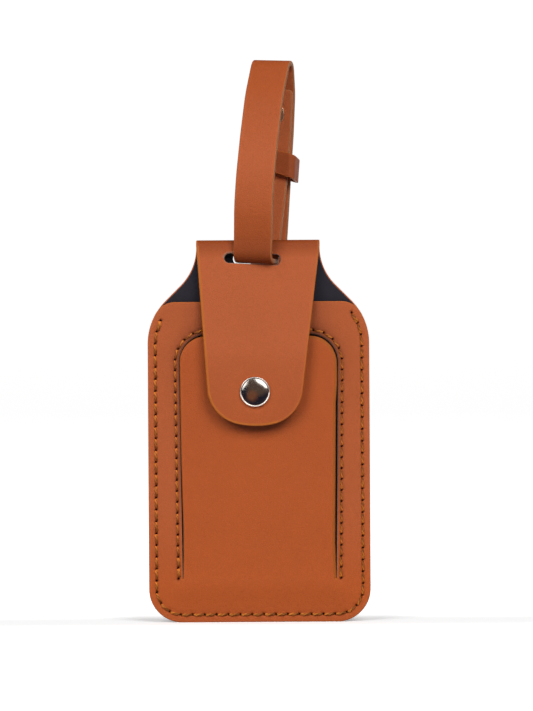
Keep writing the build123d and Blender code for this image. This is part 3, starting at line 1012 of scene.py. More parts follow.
def film_finish(name):
    """Clear vinyl film."""
    f = Finish(name)
    where = f.place()
    ripple = f.noise(where, 0.12, 2.0)
    return f.surface({
        "Base Color": (0.75, 0.78, 0.8, 1.0), "Roughness": ripple * 0.1 + 0.08, "Alpha": 0.22,
        "Normal": f.bump(ripple, 0.0004, 0.5), "Specular IOR Level": 0.6})


# The card's ruled lines, and half the width and height of the field that they are in
RULE_START, RULE_PITCH, RULE_W = 22.0, 9.0, 0.396
RULED_HALF = (21.0, 31.0)


def card_finish(name, look):
    """Ivory card with plain ruled lines to write on."""
    f = Finish(name)
    where = f.place()
    parts = f.node("ShaderNodeSeparateXYZ", None, {"Vector": where})
    across = (parts["X"] - float(card_mid[0])).math("ABSOLUTE")
    rise = parts["Z"] - float(card_mid[2])
    rows = ((rise + RULE_START) * (1 / RULE_PITCH)).math("FRACT")
    line = (rows - 0.5).math("ABSOLUTE").math("LESS_THAN", RULE_W / RULE_PITCH / 2)
    in_width = across.math("LESS_THAN", RULED_HALF[0])
    on_face = in_width * rise.math("ABSOLUTE").math("LESS_THAN", RULED_HALF[1])
    fibre = f.noise(where, 2.5, 4.0, 0.7)
    paper = f.mix(fibre, shade(look.card, 0.94), shade(look.card, 1.0))
    colour = f.mix(line * on_face, paper, (0.18, 0.22, 0.3, 1.0))
    return f.surface({
        "Base Color": colour, "Roughness": 0.75, "Normal": f.bump(fibre, 0.00003),
        "Specular IOR Level": 0.3})


# ---- What a user would change


class TagLook(bpy.types.PropertyGroup):
    tan: FloatVectorProperty(
        name="Tan", description="Colour of the hide's smooth side", subtype="COLOR", size=3,
        min=0, max=1, default=(0.466, 0.104, 0.029))
    deep_tan: FloatVectorProperty(
        name="Deep Tan", description="Colour of the hide where it is richer", subtype="COLOR", size=3,
        min=0, max=1, default=(0.44, 0.087, 0.017))
    flesh: FloatVectorProperty(
        name="Flesh Side", description="Colour of the strap's inner side", subtype="COLOR", size=3,
        min=0, max=1, default=(0.55, 0.138, 0.044))
    raw_edge: FloatVectorProperty(
        name="Raw Edge", description="Colour of the cut edges that aren't painted", subtype="COLOR", size=3,
        min=0, max=1, default=(0.56, 0.34, 0.25))
    strap_edge: FloatVectorProperty(
        name="Strap Edge", description="Colour of the strap's long edges", subtype="COLOR", size=3,
        min=0, max=1, default=(0.44, 0.16, 0.055))
    edge_paint: FloatVectorProperty(
        name="Edge Paint", description="Colour of the painted cut edges", subtype="COLOR", size=3,
        min=0, max=1, default=(0.50, 0.13, 0.018))
    tongue_edge: FloatVectorProperty(
        name="Tongue Edge", description="Colour of the tongue's painted edge", subtype="COLOR", size=3,
        min=0, max=1, default=(0.38, 0.095, 0.012))
    lining: FloatVectorProperty(
        name="Lining", description="Colour of the woven lining", subtype="COLOR", size=3,
        min=0, max=1, default=(0.013, 0.011, 0.018))
    thread: FloatVectorProperty(
        name="Thread", description="Colour of the waxed thread", subtype="COLOR", size=3,
        min=0, max=1, default=(0.74, 0.23, 0.028))
    # Painted shade on the thread towards where each stitch goes down into a hole
    thread_stain: FloatVectorProperty(
        name="Thread Shade", description="Colour of the thread where it goes down into a hole",
        subtype="COLOR", size=3, min=0, max=1, default=(0.18, 0.042, 0.005))
    card: FloatVectorProperty(
        name="Card", description="Colour of the address card", subtype="COLOR", size=3,
        min=0, max=1, default=(0.84, 0.8, 0.7))
    chrome: FloatVectorProperty(
        name="Chrome", description="Tint of the polished caps", subtype="COLOR", size=3,
        min=0, max=1, default=(0.9, 0.84, 0.76))
    brass: FloatVectorProperty(
        name="Brass", description="Tint of the sockets, studs and posts", subtype="COLOR", size=3,
        min=0, max=1, default=(0.58, 0.4, 0.24))
    grain_size: FloatProperty(
        name="Grain Size", description="Width of one pebble of the grain", unit="LENGTH",
        min=0.0001, max=0.003, precision=5, default=0.00055)
    grain_depth: FloatProperty(
        name="Grain Depth", description="Depth of the grain's creases", unit="LENGTH",
        min=0.0, max=0.0005, precision=6, default=0.00008)
    roughness: FloatProperty(
        name="Leather Roughness", description="How dull the hide's finish is", subtype="FACTOR",
        min=0, max=1, default=0.5)
    shine: FloatProperty(
        name="Leather Shine", description="Strength of the hide's reflections", subtype="FACTOR",
        min=0, max=1, default=0.14)


class TagSewing(bpy.types.PropertyGroup):
    seam_inset: FloatProperty(
        name="Seam Inset", description="From the pouch's edge to the outer row of stitches",
        unit="LENGTH", min=0.001, max=0.0035, precision=5, default=0.0024)
    seam_pitch: FloatProperty(
        name="Seam Pitch", description="Length of one stitch of the outer row",
        unit="LENGTH", min=0.002, max=0.006, precision=5, default=0.00372)
    arch_inset: FloatProperty(
        name="Arch Inset", description="From the arched slit to its row of stitches",
        unit="LENGTH", min=0.001, max=0.003, precision=5, default=0.0014)
    arch_pitch: FloatProperty(
        name="Arch Pitch", description="Length of one stitch of the row round the arch",
        unit="LENGTH", min=0.002, max=0.006, precision=5, default=0.00347)
    thread_d: FloatProperty(
        name="Thread Width", description="Diameter of the thread",
        unit="LENGTH", min=0.0003, max=0.0012, precision=5, default=0.00078)
    hole_depth: FloatProperty(
        name="Hole Depth", description="How far the hide is drawn in at each needle hole",
        unit="LENGTH", min=0.0, max=0.001, precision=5, default=0.0007)


class TagStudio(bpy.types.PropertyGroup):
    camera_distance: FloatProperty(
        name="Camera Distance", description="From the camera to the tag's front",
        unit="LENGTH", min=0.3, max=5, default=1.2)
    frame_height: FloatProperty(
        name="Frame Height", description="Height of the view at the tag's front",
        unit="LENGTH", min=0.1, max=1, precision=4, default=0.2252)
    key_power: FloatProperty(
        name="Key Light", description="Power of the soft light on the right",
        unit="POWER", min=0, max=200, default=25.2)
    fill_power: FloatProperty(
        name="Fill Light", description="Power of the soft light on the left",
        unit="POWER", min=0, max=200, default=22.2)
    room_light: FloatProperty(
        name="Room Light", description="Strength of the even white light all round",
        min=0, max=3, default=0.15)
    floor_glow: FloatProperty(
        name="Floor Glow", description="Light that the floor and its sweep give by themselves",
        min=0, max=3, default=0.8)
    near_glow: FloatProperty(
        name="Near Glow", description="Share of the floor's glow close to the tag", subtype="FACTOR",
        min=0, max=1, default=0.36)
    floor: FloatVectorProperty(
        name="Floor", description="Colour of the floor and its sweep", subtype="COLOR", size=3,
        min=0, max=1, default=(0.9, 0.9, 0.9))


# ---- Pieces

# The snaps: caps dished inside a rim, sockets that hold studs, and flat posts behind
CAP_D, CAP_T, CAP_DISH, CAP_RIM_W, CAP_EDGE_T = 9.4, 0.95, 0.38, 0.28, 0.35
SOCKET_D, STUD_D, STUD_NECK_D, FLANGE_D, FLANGE_T = 8.4, 3.8, 3.0, 7.4, 0.4
STRAP_SOCKET_H, STRAP_STUD_H, STRAP_POST_D = 1.35, 1.0, 7.8
FLAP_SOCKET_H, FLAP_STUD_H, FLAP_POST_D = 2.0, 2.1, 6.6
POST_T = 0.35
STRAP_SNAP_DROP = 15.4

# Radii of the sheets' rounded edges, and the gap between a lining and its leather
HIDE_EDGE_R, STRAP_EDGE_R, KEEPER_EDGE_R = 0.3, 0.38, 0.28
TONGUE_EDGE_R, TONGUE_BACK_R = 0.4, 0.2
CLOTH_EDGE_R, CLOTH_GAP = 0.08, 0.02

# The height where the back's sheet ends and the flap's begins
BACK_SEAM_H = FOLD_CENTRE_H
# How far the lower corners of the flap's slot are lifted, right and left, and its upper edge lowered,
# and how much lining is left over at each end of the back's slot
SLOT_GIVE, SLOT_SAG, SLOT_FRAY = (-0.12, 0.4), 0.8, 0.9

# The slit's width at heights, on its left and its right
SLIT_LEFT = (ARCH_FOOT_H, 0.04), (22, 0.32), (30, 0.4), (44, 0.2), (54, 0.07), (ARCH_TOP_H, 0.06)
SLIT_RIGHT = (
    (ARCH_FOOT_H, 0.04), (19, 0.32), (26, 0.55), (69, 0.55), (75, 0.18), (79, 0.18), (ARCH_TOP_H - 6, 0.4))

# The tongue rises over this height from its foot, and rolls down at its edge by a depth over a width
TONGUE_RISE_H = 26.0
TONGUE_PUFF, TONGUE_PUFF_W = 0.22, 2.2

# How much of the raw cut shows beside the slit, how dark and wide the shade there is, and both by height
LIP_SHARE, LIP_SHADE, LIP_SHADE_W = 0.075, 0.45, 0.85
LIP_FADE = (ARCH_FOOT_H, 0.0), (28, 0.25), (50, 1.0)

# Rows of stitches: where the outer row ends at the shoulders, as (across, height), the gap at a needle
# cut, how far a stitch slants, a cut's reach along and across the row, and the shift of a locking thread
SEAM_END_LEFT, SEAM_END_RIGHT = (-31.3, 95.6), (30.4, 98.6)
STITCH_GAP, STITCH_SLANT, CUT_REACH = 0.95, 0.13, (0.15, 0.1)
LOCK_SHIFT = 0.3
ARCH_THREAD = 0.78
# How far the painted shade reaches round each needle cut
NEEDLE_SHADE_R = 0.35

# The grooves that the rows press into the front, the pull at their holes, and the grooves' shade
GROOVE_DEPTH, GROOVE_W, PULL_W = 0.14, 0.75, 0.3
GROOVE_SHADE, GROOVE_SHADE_W = 0.28, 0.7

# The front's painted shade, which rises over heights: in the dip down to the row round the arch, and the flap's shadow
# beside the flap
SHADE_FROM_H, SHADE_RISE_H = 58.0, 40.0
VALLEY_SHADE, VALLEY_W, FLAP_SHADOW, FLAP_SHADOW_W = 0.14, 3.2, 0.22, 4.5

# The film is wider than the arch all round, for the stitches to catch
PATCH_W, FILM_T = 3.0, 0.2

# The strap's tones, as (height in the frame, share of the deep tan, tone): painted shade towards its foot in the slot
# and towards the crown, and painted sheen as paler tan in its middle
STRAP_SHADE_TONES = (
    (-66, 1.5, 0.48), (-60, 1.3, 0.62), (-53, 1.0, 0.88), (-46, 0.6, 0.95), (-30, 0.0, 0.98),
    (-14, 0.5, 0.92), (0, 0.7, 0.83))
KEEPER_TONES = ((0, 0.4, 0.85),)


def dress(obj, material, body, slot=None, replaced=(), into=None, between=None):
    """Gives a piece its finish, its CAD nodes and the body that it moves with."""
    obj.data.materials.append(material)
    if slot:
        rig.slot(obj, slot)
    if replaced:
        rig.replaces(obj, *replaced)
    if into:
        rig.blend(obj, body, into, *between)
    else:
        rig.ride(obj, body)
    return obj


def even_rows(low, high, spacing):
    """Heights from low to high, about spacing apart."""
    return np.linspace(low, high, max(2, round((high - low) / spacing)) + 1)


def pushed(loop, distance, seam=None):
    """A closed loop moved to its inner side, but kept on the height of a seam."""
    loop = loop if area(loop) > 0 else loop[::-1]
    moved = loop + inward(loop) * distance
    if seam is not None:
        on_seam = np.abs(loop[:, 1] - seam) < 1e-6
        half = np.abs(loop[on_seam, 0]).max()
        moved[on_seam] = loop[on_seam] * (1 - distance / half, 1)
    return moved


def smooth_step(share):
    """Eases a share between 0 and 1 at both ends."""
    share = np.clip(share, 0, 1)
    return share * share * (3 - 2 * share)


def crown(flat):
    """How far the front rises over the card pocket, inside its sewn edge."""
    over_x = np.abs(flat[:, 0]) - (BODY_W / 2 - FOOT_CORNER_R)
    over_y = FOOT_CORNER_R - flat[:, 1]
    reach = FOOT_CORNER_R - np.hypot(np.maximum(over_x, 0), np.maximum(over_y, 0))
    reach -= np.minimum(np.maximum(over_x, over_y), 0)
    return CROWN_RISE * smooth_step((reach - SEAM_W) / CROWN_SLOPE_W)


def seam_line(sewing):
    """The outer row's line, from the upper left down, round the foot and up to the upper right."""
    loop = pushed(rounded(front_outline()), sewing.seam_inset / MM)
    start = np.argmin(np.linalg.norm(loop - SEAM_END_LEFT, axis=1))
    line = np.roll(loop, -start, 0)
    end = np.argmin(np.linalg.norm(line - SEAM_END_RIGHT, axis=1))
    return line[:end + 1]


def arch_line(sewing):
    """The inner row's line, up one side of the arch, over its top and down the other side."""
    return rounded(arch_corners(-sewing.arch_inset / MM, ARCH_FOOT_H), closed=False)


def stitch_row(line, pitch):
    """The needle holes along a line, the slanting cuts there, and the stitches between."""
    length = line_length(line)
    count = round(length / pitch)
    holes, along = at_length(line, np.linspace(0, length, count + 1))
    side = np.stack((-along[:, 1], along[:, 0]), 1)
    slope = along * CUT_REACH[0] - side * CUT_REACH[1]
    cuts = np.vstack((holes - slope, holes, holes + slope))
    starts = holes[:-1] + along[:-1] * STITCH_GAP / 2 - side[:-1] * STITCH_SLANT
    ends = holes[1:] - along[1:] * STITCH_GAP / 2 + side[1:] * STITCH_SLANT
    return holes, cuts, list(zip(starts, ends))


def needle_shade(cuts):
    """Gives the painted shade of the hide at flat points, round needle cuts."""
    return lambda flat: np.exp(-((nearest(flat, cuts) / NEEDLE_SHADE_R) ** 4))


def doubled(spans, which, shift):
    """Second threads beside some of the stitches, where a seam is locked."""
    made = []
    for i in which:
        start, end = spans[i]
        run = (end - start) / np.linalg.norm(end - start)
        aside = np.array((-run[1], run[0])) * shift
        made.append((start + aside, end + aside))
    return made


def seam_rows(sewing):
    """The outer row and the row round the arch, each as holes, cuts and stitches."""
    return (stitch_row(seam_line(sewing), sewing.seam_pitch / MM),
            stitch_row(arch_line(sewing), sewing.arch_pitch / MM))


def strap_bend():
    """The strap's line, with its bends eased into each other."""
    line = rounded(STRAP_ROUTE, closed=False, step=0.4)
    line = at_length(line, np.linspace(0, line_length(line), round(line_length(line) / 0.3)))[0]
    for _ in range(6):
        line[1:-1] = (line[:-2] + 2 * line[1:-1] + line[2:]) / 4
    return Bend(line, (0, 0, 0), STRAP_ACROSS, STRAP_REAR, STRAP_UP)


class TAG_OT_strap(bpy.types.Operator):
    """One strip of leather, from its inner rear end through the slots and over to its tail"""
    bl_idname = "tag.strap"
    bl_label = "Strap"

    def execute(self, context):
        bend = strap_bend()
        length, half = bend.run[-1], STRAP_W / 2
        outline = rounded([(-half, 0, INNER_END_R), (half, 0, INNER_END_R), (half, length, TAIL_R),
                           (-half, length, TAIL_R)], step=0.45)
        strap = sheet("strap_leather", outline, [], bend.place, -STRAP_T / 2, STRAP_T / 2, STRAP_EDGE_R,
                      even_rows(0, length, 0.5), 0.9)
        look = context.scene.tag_look
        hide = leather_finish("strap_hide", look, STRAP_SHADE_TONES, look.strap_edge, look.flesh)
        dress(strap, hide, "strap", "leather", ["strap"])
        return {"FINISHED"}


def snap_cap_profile():
    """Dished face inside a rolled rim, from the middle out and round to the leather."""
    half, rim_r = CAP_D / 2, CAP_RIM_W / 2
    dish_edge = half - CAP_RIM_W
    dish = [(r, CAP_T - CAP_DISH + CAP_DISH * (r / dish_edge) ** 2) for r in np.linspace(0, dish_edge, 14)]
    rim = [(half - rim_r + rim_r * math.cos(t), CAP_T - rim_r + rim_r * math.sin(t))
           for t in np.radians(np.linspace(130, -27, 12))]
    return dish + rim + [(half - 0.02, CAP_EDGE_T), (half - 0.12, 0.06), (half - 0.35, 0.0), (1.0, -0.05)]


def socket_profile(height):
    """Rolled socket with a spring mouth, from the leather out and into its well."""
    half, mouth = SOCKET_D / 2, STUD_D / 2 + 0.12
    flange = [(1.0, 0.0), (half - 0.1, 0.0), (half, 0.12), (half, 0.35), (half - 0.25, 0.6),
              (half - 0.9, 0.75)]
    drum = [(half - 1.1, height * 0.6), (half - 1.25, height - 0.15), (half - 1.5, height)]
    lips = [(mouth + 0.3, height), (mouth + 0.05, height - 0.12), (mouth, height - 0.4),
            (mouth + 0.1, height - 0.6)]
    well = [(mouth + 0.1, 0.3), (1.4, 0.25), (1.2, 0.32), (0.0, 0.34)]
    return flange + drum + lips + well


def stud_profile(height):
    """Flange on the leather, and a stud with a waisted neck under its bulb."""
    half, bulb, neck = FLANGE_D / 2, STUD_D / 2, STUD_NECK_D / 2
    flange = [(1.0, 0.0), (half - 0.05, 0.0), (half, 0.1), (half - 0.05, FLANGE_T * 0.7),
              (half - 0.4, FLANGE_T), (half - 1.0, FLANGE_T * 0.8)]
    waist = [(neck + 0.35, FLANGE_T), (neck, FLANGE_T + 0.2), (neck, height * 0.6)]
    head = [(bulb - 0.05, height * 0.72), (bulb, height * 0.82), (bulb - 0.12, height * 0.95),
            (bulb - 0.4, height)]
    bore = [(0.95, height), (0.8, height - 0.15), (0.75, height * 0.6), (0.0, height * 0.58)]
    return flange + waist + head + bore


def post_profile(diameter):
    """Flat ring with rolled edges round an open rivet."""
    half = diameter / 2
    ring = [(1.0, 0.0), (half - 0.05, 0.0), (half, 0.08), (half - 0.03, POST_T * 0.7), (half - 0.25, POST_T),
            (half - 1.0, POST_T * 0.92)]
    rivet = [(2.1, POST_T * 0.75), (1.75, POST_T), (1.45, POST_T), (1.2, POST_T * 0.7), (1.1, 0.02),
             (0.0, -0.05)]
    return ring + rivet


class TAG_OT_strap_snap(bpy.types.Operator):
    """The snap that closes the strap on itself: cap, socket, stud and ring-shaped post"""
    bl_idname = "tag.strap_snap"
    bl_label = "Strap Snap"

    def execute(self, context):
        look = context.scene.tag_look
        brass = metal_finish("strap_snap_brass", look.brass, 0.28)
        chrome = metal_finish("strap_snap_chrome", look.chrome, 0.12)
        drop = -STRAP_SNAP_DROP * STRAP_UP
        socket, stud = socket_profile(STRAP_SOCKET_H), stud_profile(STRAP_STUD_H)
        places = [
            ("cap", snap_cap_profile(), OUTER_LAYER, 1, chrome, "snap_cap"),
            ("socket", socket, OUTER_LAYER, -1, brass, "snap_inner"),
            ("stud", stud, INNER_LAYER, 1, brass, "snap_inner"),
            ("post", post_profile(STRAP_POST_D), INNER_LAYER, -1, brass, "snap_inner"),
        ]
        for name, profile, layer, side, metal, slot in places:
            spot = drop + STRAP_REAR * (layer + side * STRAP_T / 2)
            made = lathe(f"strap_{name}", profile, spot, STRAP_REAR * side)
            dress(made, metal, "strap", slot, [f"strap_snap_{name}"])
        return {"FINISHED"}


class TAG_OT_keeper(bpy.types.Operator):
    """A loose leather band round the strap's two rear layers, butted and glued at its rear"""
    bl_idname = "tag.keeper"
    bl_label = "Keeper"

    def execute(self, context):
        centre = box_mm("keeper")[0]
        across = np.array(turned(KEEPER_DROOP, Vector(STRAP_REAR)) @ Vector(STRAP_ACROSS))
        up = np.array(turned(-KEEPER_LEAN, Vector(STRAP_ACROSS)) @ Vector(STRAP_UP))
        rear = np.cross(up, across)
        half_w, half_d = KEEPER_INNER[0] / 2 + KEEPER_T / 2, KEEPER_INNER[1] / 2 + KEEPER_T / 2
        corner_r = KEEPER_CORNER_R + KEEPER_T / 2
        line = rounded([(0, half_d, 0), (-half_w, half_d, corner_r), (-half_w, -half_d, corner_r),
                        (half_w, -half_d, corner_r), (half_w, half_d, corner_r), (0, half_d, 0)],
                       closed=False, step=0.2)
        loop = Bend(line[::-1], centre, up, across, rear)
        keeper = band("keeper_band", loop, KEEPER_H / 2, KEEPER_T / 2, KEEPER_EDGE_R, 0.25)
        hide = leather_finish("keeper_hide", context.scene.tag_look, KEEPER_TONES)
        dress(keeper, hide, "keeper", "leather", ["keeper"])
        return {"FINISHED"}


def fold_shade_tones():
    """The hide's tones up to the top of the fold, darker and richer towards it: painted shade where the fold turns
    away from the light.
    """
    top = POUCH[2] + BACK_H
    return (top - 5.8, 0.0, 1.0), (top - 3.6, 0.6, 0.86), (top - 1.8, 1.0, 0.72), (top, 1.2, 0.6)


class TAG_OT_back(bpy.types.Operator):
    """The back of the pouch up to the fold, with its lining"""
    bl_idname = "tag.back"
    bl_label = "Back"

    def execute(self, context):
        seam_holes, seam_cuts, _ = seam_rows(context.scene.tag_sewing)[0]
        depth = context.scene.tag_sewing.hole_depth / MM

        def drawn_in(flat):
            gap = nearest(flat, seam_holes)
            return -depth * 0.8 * np.exp(-((gap / 0.3) ** 2)) - 0.06 * np.exp(-((gap / 1.2) ** 2))

        outline = rounded(body_outline(BACK_SEAM_H))
        slot = rounded(slot_corners(0, SLOT_CENTRE_H), step=0.3)
        rows = even_rows(0, BACK_SEAM_H, 1.2)
        hide = sheet("back_leather", outline, [slot], fold.place, 0, LEATHER_T, HIDE_EDGE_R, rows, 1.2,
                     relief=drawn_in, pits=seam_holes, dark=needle_shade(seam_cuts), seam=BACK_SEAM_H)
        look = context.scene.tag_look
        dress(hide, leather_finish("back_hide", look, fold_shade_tones()), "pouch", "leather", ["back_panel"])
        inner = pushed(outline, LINING_INSET, BACK_SEAM_H)
        short_slot = rounded(slot_corners(0, SLOT_CENTRE_H, SLOT_FRAY), step=0.3)
        cloth = sheet("back_cloth", inner, [short_slot], fold.place, -LINING_T, -CLOTH_GAP, CLOTH_EDGE_R,
                      rows, 1.2, seam=BACK_SEAM_H)
        dress(cloth, cloth_finish("back_weave", look), "pouch", "lining", ["back_lining"])
        return {"FINISHED"}


def flap_loop(corners, step):
    """An outline of the flap, seen from the front, leaned and laid along the folded sheet."""
    return np.array([(x, flap_run(h)) for x, h in (lean(*p) for p in rounded(corners, step=step))])


def arc(centre, radius, start, end, step=0.5):
    """Points of an arc between two angles in radians."""
    turns = np.linspace(start, end, max(3, math.ceil(abs(end - start) * radius / step)) + 1)
    return np.array(centre) + radius * np.stack((np.cos(turns), np.sin(turns)), 1)


def flap_tip():
    """The flap's blunt tip, seen from the front: corners eased into a wide arc, right side to left."""
    tip_h, tip_x = BACK_H - FLAP_L, FLAP_TIP_W / 2
    big = np.array((0, tip_h + FLAP_TIP_R))
    top = np.array((NECK_W / 2, FOLD_CENTRE_H))
    down = np.array((tip_x, big[1] - math.sqrt(FLAP_TIP_R**2 - tip_x**2))) - top
    down /= np.linalg.norm(down)
    track = top + FLAP_CORNER_R * np.array((down[1], -down[0])) - big
    along = -(track @ down)
    reach = math.sqrt(along**2 - track @ track + (FLAP_TIP_R - FLAP_CORNER_R) ** 2)
    centre = big + track + down * (along + reach)
    out = centre - big
    turn = math.atan2(out[1], out[0])
    side = math.atan2(down[0], -down[1])
    right = arc(centre, FLAP_CORNER_R, side, turn)
    bottom = arc(big, FLAP_TIP_R, turn, -math.pi - turn)[1:-1]
    return np.vstack((right, bottom, right[::-1] * (-1, 1)))


def flap_sheet_outline():
    """From the back's seam over the fold, down the flap's tapered sides and round its tip."""
    neck = NECK_W / 2
    tip = [lean(x, h) for x, h in flap_tip()]
    front = [(neck, FOLD_END_S), *((x, flap_run(h)) for x, h in tip), (-neck, FOLD_END_S)]
    return even(np.array([(neck, BACK_SEAM_H), *front, (-neck, BACK_SEAM_H)]), True, 0.5)


class TAG_OT_flap(bpy.types.Operator):
    """The fold and the flap, one sheet that bends just below its slot, with its lining"""
    bl_idname = "tag.flap"
    bl_label = "Flap"

    def execute(self, context):
        outline = flap_sheet_outline()
        tip_s = outline[:, 1].max()
        rows = np.concatenate((even_rows(BACK_SEAM_H, FOLD_END_S, 0.13)[1:],
                               even_rows(FOLD_END_S, FOLD_END_S + 14, 0.7)[1:],
                               even_rows(FOLD_END_S + 14, tip_s, 1.1)[1:]))
        outline = add_rows(outline, rows[rows < FOLD_END_S + 13])
        slot = flap_loop(slot_corners(FLAP_SLOT_SHIFT, SLOT_CENTRE_H, rise=SLOT_GIVE, sag=SLOT_SAG), 0.3)
        snap_x, snap_s = self.snap_spot()

        def pressed(flat):
            gap = np.hypot(flat[:, 0] - snap_x, flat[:, 1] - snap_s)
            return -0.16 * np.exp(-(((gap - CAP_D / 2) / 0.9) ** 2))

        look = context.scene.tag_look
        bend = self.bend_points()
        leather = sheet("flap_leather", outline, [slot], fold.place, 0, LEATHER_T, HIDE_EDGE_R, rows, 1.1,
                        relief=pressed, lip=self.lip, seam=BACK_SEAM_H)
        hide = leather_finish("flap_hide", look, self.tones())
        dress(leather, hide, "pouch", "leather", ["flap"], "flap", bend)
        inner = pushed(outline, LINING_INSET, BACK_SEAM_H)
        cloth = sheet("flap_cloth", inner, [slot], fold.place, -LINING_T, -CLOTH_GAP, CLOTH_EDGE_R,
                      rows, 1.1, seam=BACK_SEAM_H)
        weave = cloth_finish("flap_weave", look)
        dress(cloth, weave, "pouch", "lining", ["flap_lining"], "flap", bend)
        return {"FINISHED"}

    @staticmethod
    def tones():
        """The hide's tones from the flap's tip up to the fold, with the painted shade at the fold's top."""
        low = flap_mid[2] - flap_size[2] / 2
        return (low, 0.6, 1.0), (low + 25, 0.0, 1.0), *fold_shade_tones()

    @staticmethod
    def lip(ring, hole):
        """The raw cut shows at the slot, and the edge's paint on the left and round the tip."""
        if hole:
            upper_left = (ring[:, 0] < FLAP_SLOT_SHIFT - 5.5) & (ring[:, 1] < flap_run(SLOT_CENTRE_H))
            return np.where(upper_left, 0.12, 0.0)
        return np.where((ring[:, 1] > FOLD_END_S) & (ring[:, 0] < 6), 1.0, 0.1)

    @staticmethod
    def snap_spot():
        """The snap's place on the flat sheet."""
        centre = box_mm("flap_snap_cap")[0] - POUCH
        return centre[0], flap_run(centre[2])

    @staticmethod
    def bend_points():
        """Where the flap starts to bend and where it moves as one."""
        above, below = 0.8, 4.6
        spot = Vector(FLAP_HINGE)
        return (spot + Vector((0, 0, above))) * MM, (spot - Vector((0, 0, below))) * MM


class TAG_OT_front(bpy.types.Operator):
    """The front: sewn rim, low crown, needle holes and the arched slit, with its lining"""
    bl_idname = "tag.front"
    bl_label = "Front"

    def execute(self, context):
        sewing, look = context.scene.tag_sewing, context.scene.tag_look
        holes, cuts = (np.vstack([row[k] for row in seam_rows(sewing)]) for k in (0, 1))
        seam_row, arch_row = (even(line(sewing), False, 0.4) for line in (seam_line, arch_line))
        lines = np.vstack((seam_row, arch_row))
        depth = sewing.hole_depth / MM

        def shaped(flat):
            groove = np.exp(-((nearest(flat, lines) / GROOVE_W) ** 2))
            pull = np.exp(-((nearest(flat, cuts) / PULL_W) ** 2))
            return crown(flat) - GROOVE_DEPTH * groove - depth * pull

        # Painted shade on the front: at needle cuts, in the groove of the row round the arch, beside the slit, in the
        # dip down to that row and in the flap's shadow
        def darkened(flat):
            sunk = GROOVE_SHADE * np.exp(-((nearest(flat, arch_row) / GROOVE_SHADE_W) ** 2))
            beside = np.exp(-((nearest(flat, slit) / LIP_SHADE_W) ** 4))
            beside *= LIP_SHADE * np.interp(flat[:, 1], *zip(*LIP_FADE))
            shaded = np.maximum(sunk, beside) + self.worn(flat, arch_row)
            return np.maximum(needle_shade(cuts)(flat), shaded)

        outline = rounded(front_outline())
        arch = rounded(arch_corners(0, ARCH_FOOT_H))
        slit = arch[arch[:, 1] > ARCH_FOOT_H + 0.1]
        rim_back = FRONT_RIM_BACK_D
        leather = sheet("front_leather", outline, [arch], flat_place, rim_back, rim_back + LEATHER_T,
                        HIDE_EDGE_R, even_rows(0, FRONT_H, 1.1), 1.1, relief=shaped, back_relief=crown,
                        pits=holes, dark=darkened, lip=self.lip, seam=ARCH_FOOT_H)
        dress(leather, leather_finish("front_hide", look, self.tones()), "pouch", "leather", ["front_panel"])
        opening = rounded(arch_corners(SLIT_W + 0.05, ARCH_FOOT_H + 0.1, 1.0))
        cloth = sheet("front_cloth", pushed(outline, LINING_INSET), [opening], flat_place,
                      rim_back - LINING_T, rim_back - CLOTH_GAP, CLOTH_EDGE_R,
                      even_rows(0, FRONT_H, 1.4), 1.4, relief=crown, back_relief=crown)
        dress(cloth, cloth_finish("front_weave", look), "pouch", "lining", ["front_lining"])
        return {"FINISHED"}

    @staticmethod
    def worn(flat, arch_row):
        """Painted shade: the dip down to the row round the arch and the flap's shadow beside the flap, more so higher
        up.
        """
        from_flap = np.maximum(np.abs(flat[:, 0]) - NECK_W / 2 + 1, 0)
        valley = VALLEY_SHADE * np.exp(-((nearest(flat, arch_row) / VALLEY_W) ** 2))
        beside_flap = FLAP_SHADOW * np.exp(-((from_flap / FLAP_SHADOW_W) ** 2))
        return smooth_step((flat[:, 1] - SHADE_FROM_H) / SHADE_RISE_H) * (valley + beside_flap)

    @staticmethod
    def lip(ring, hole):
        """The raw cut shows beside the arch, less towards its foot, and not on the outer edge."""
        return LIP_SHARE * np.interp(ring[:, 1], *zip(*LIP_FADE)) if hole else 0.0

    @staticmethod
    def tones():
        """The hide's tones up from the pouch's foot: richer low down, and lighter there as painted light against the
        shade on the crown's slope at the foot.
        """
        foot = POUCH[2]
        return ((foot + 2, 0.8, 1.02), (foot + 6, 1.0, 1.12), (foot + 12, 1.0, 1.15), (foot + 20, 0.6, 1.09),
                (foot + 36, 0.0, 1.04), (foot + 70, 0.0, 1.0))


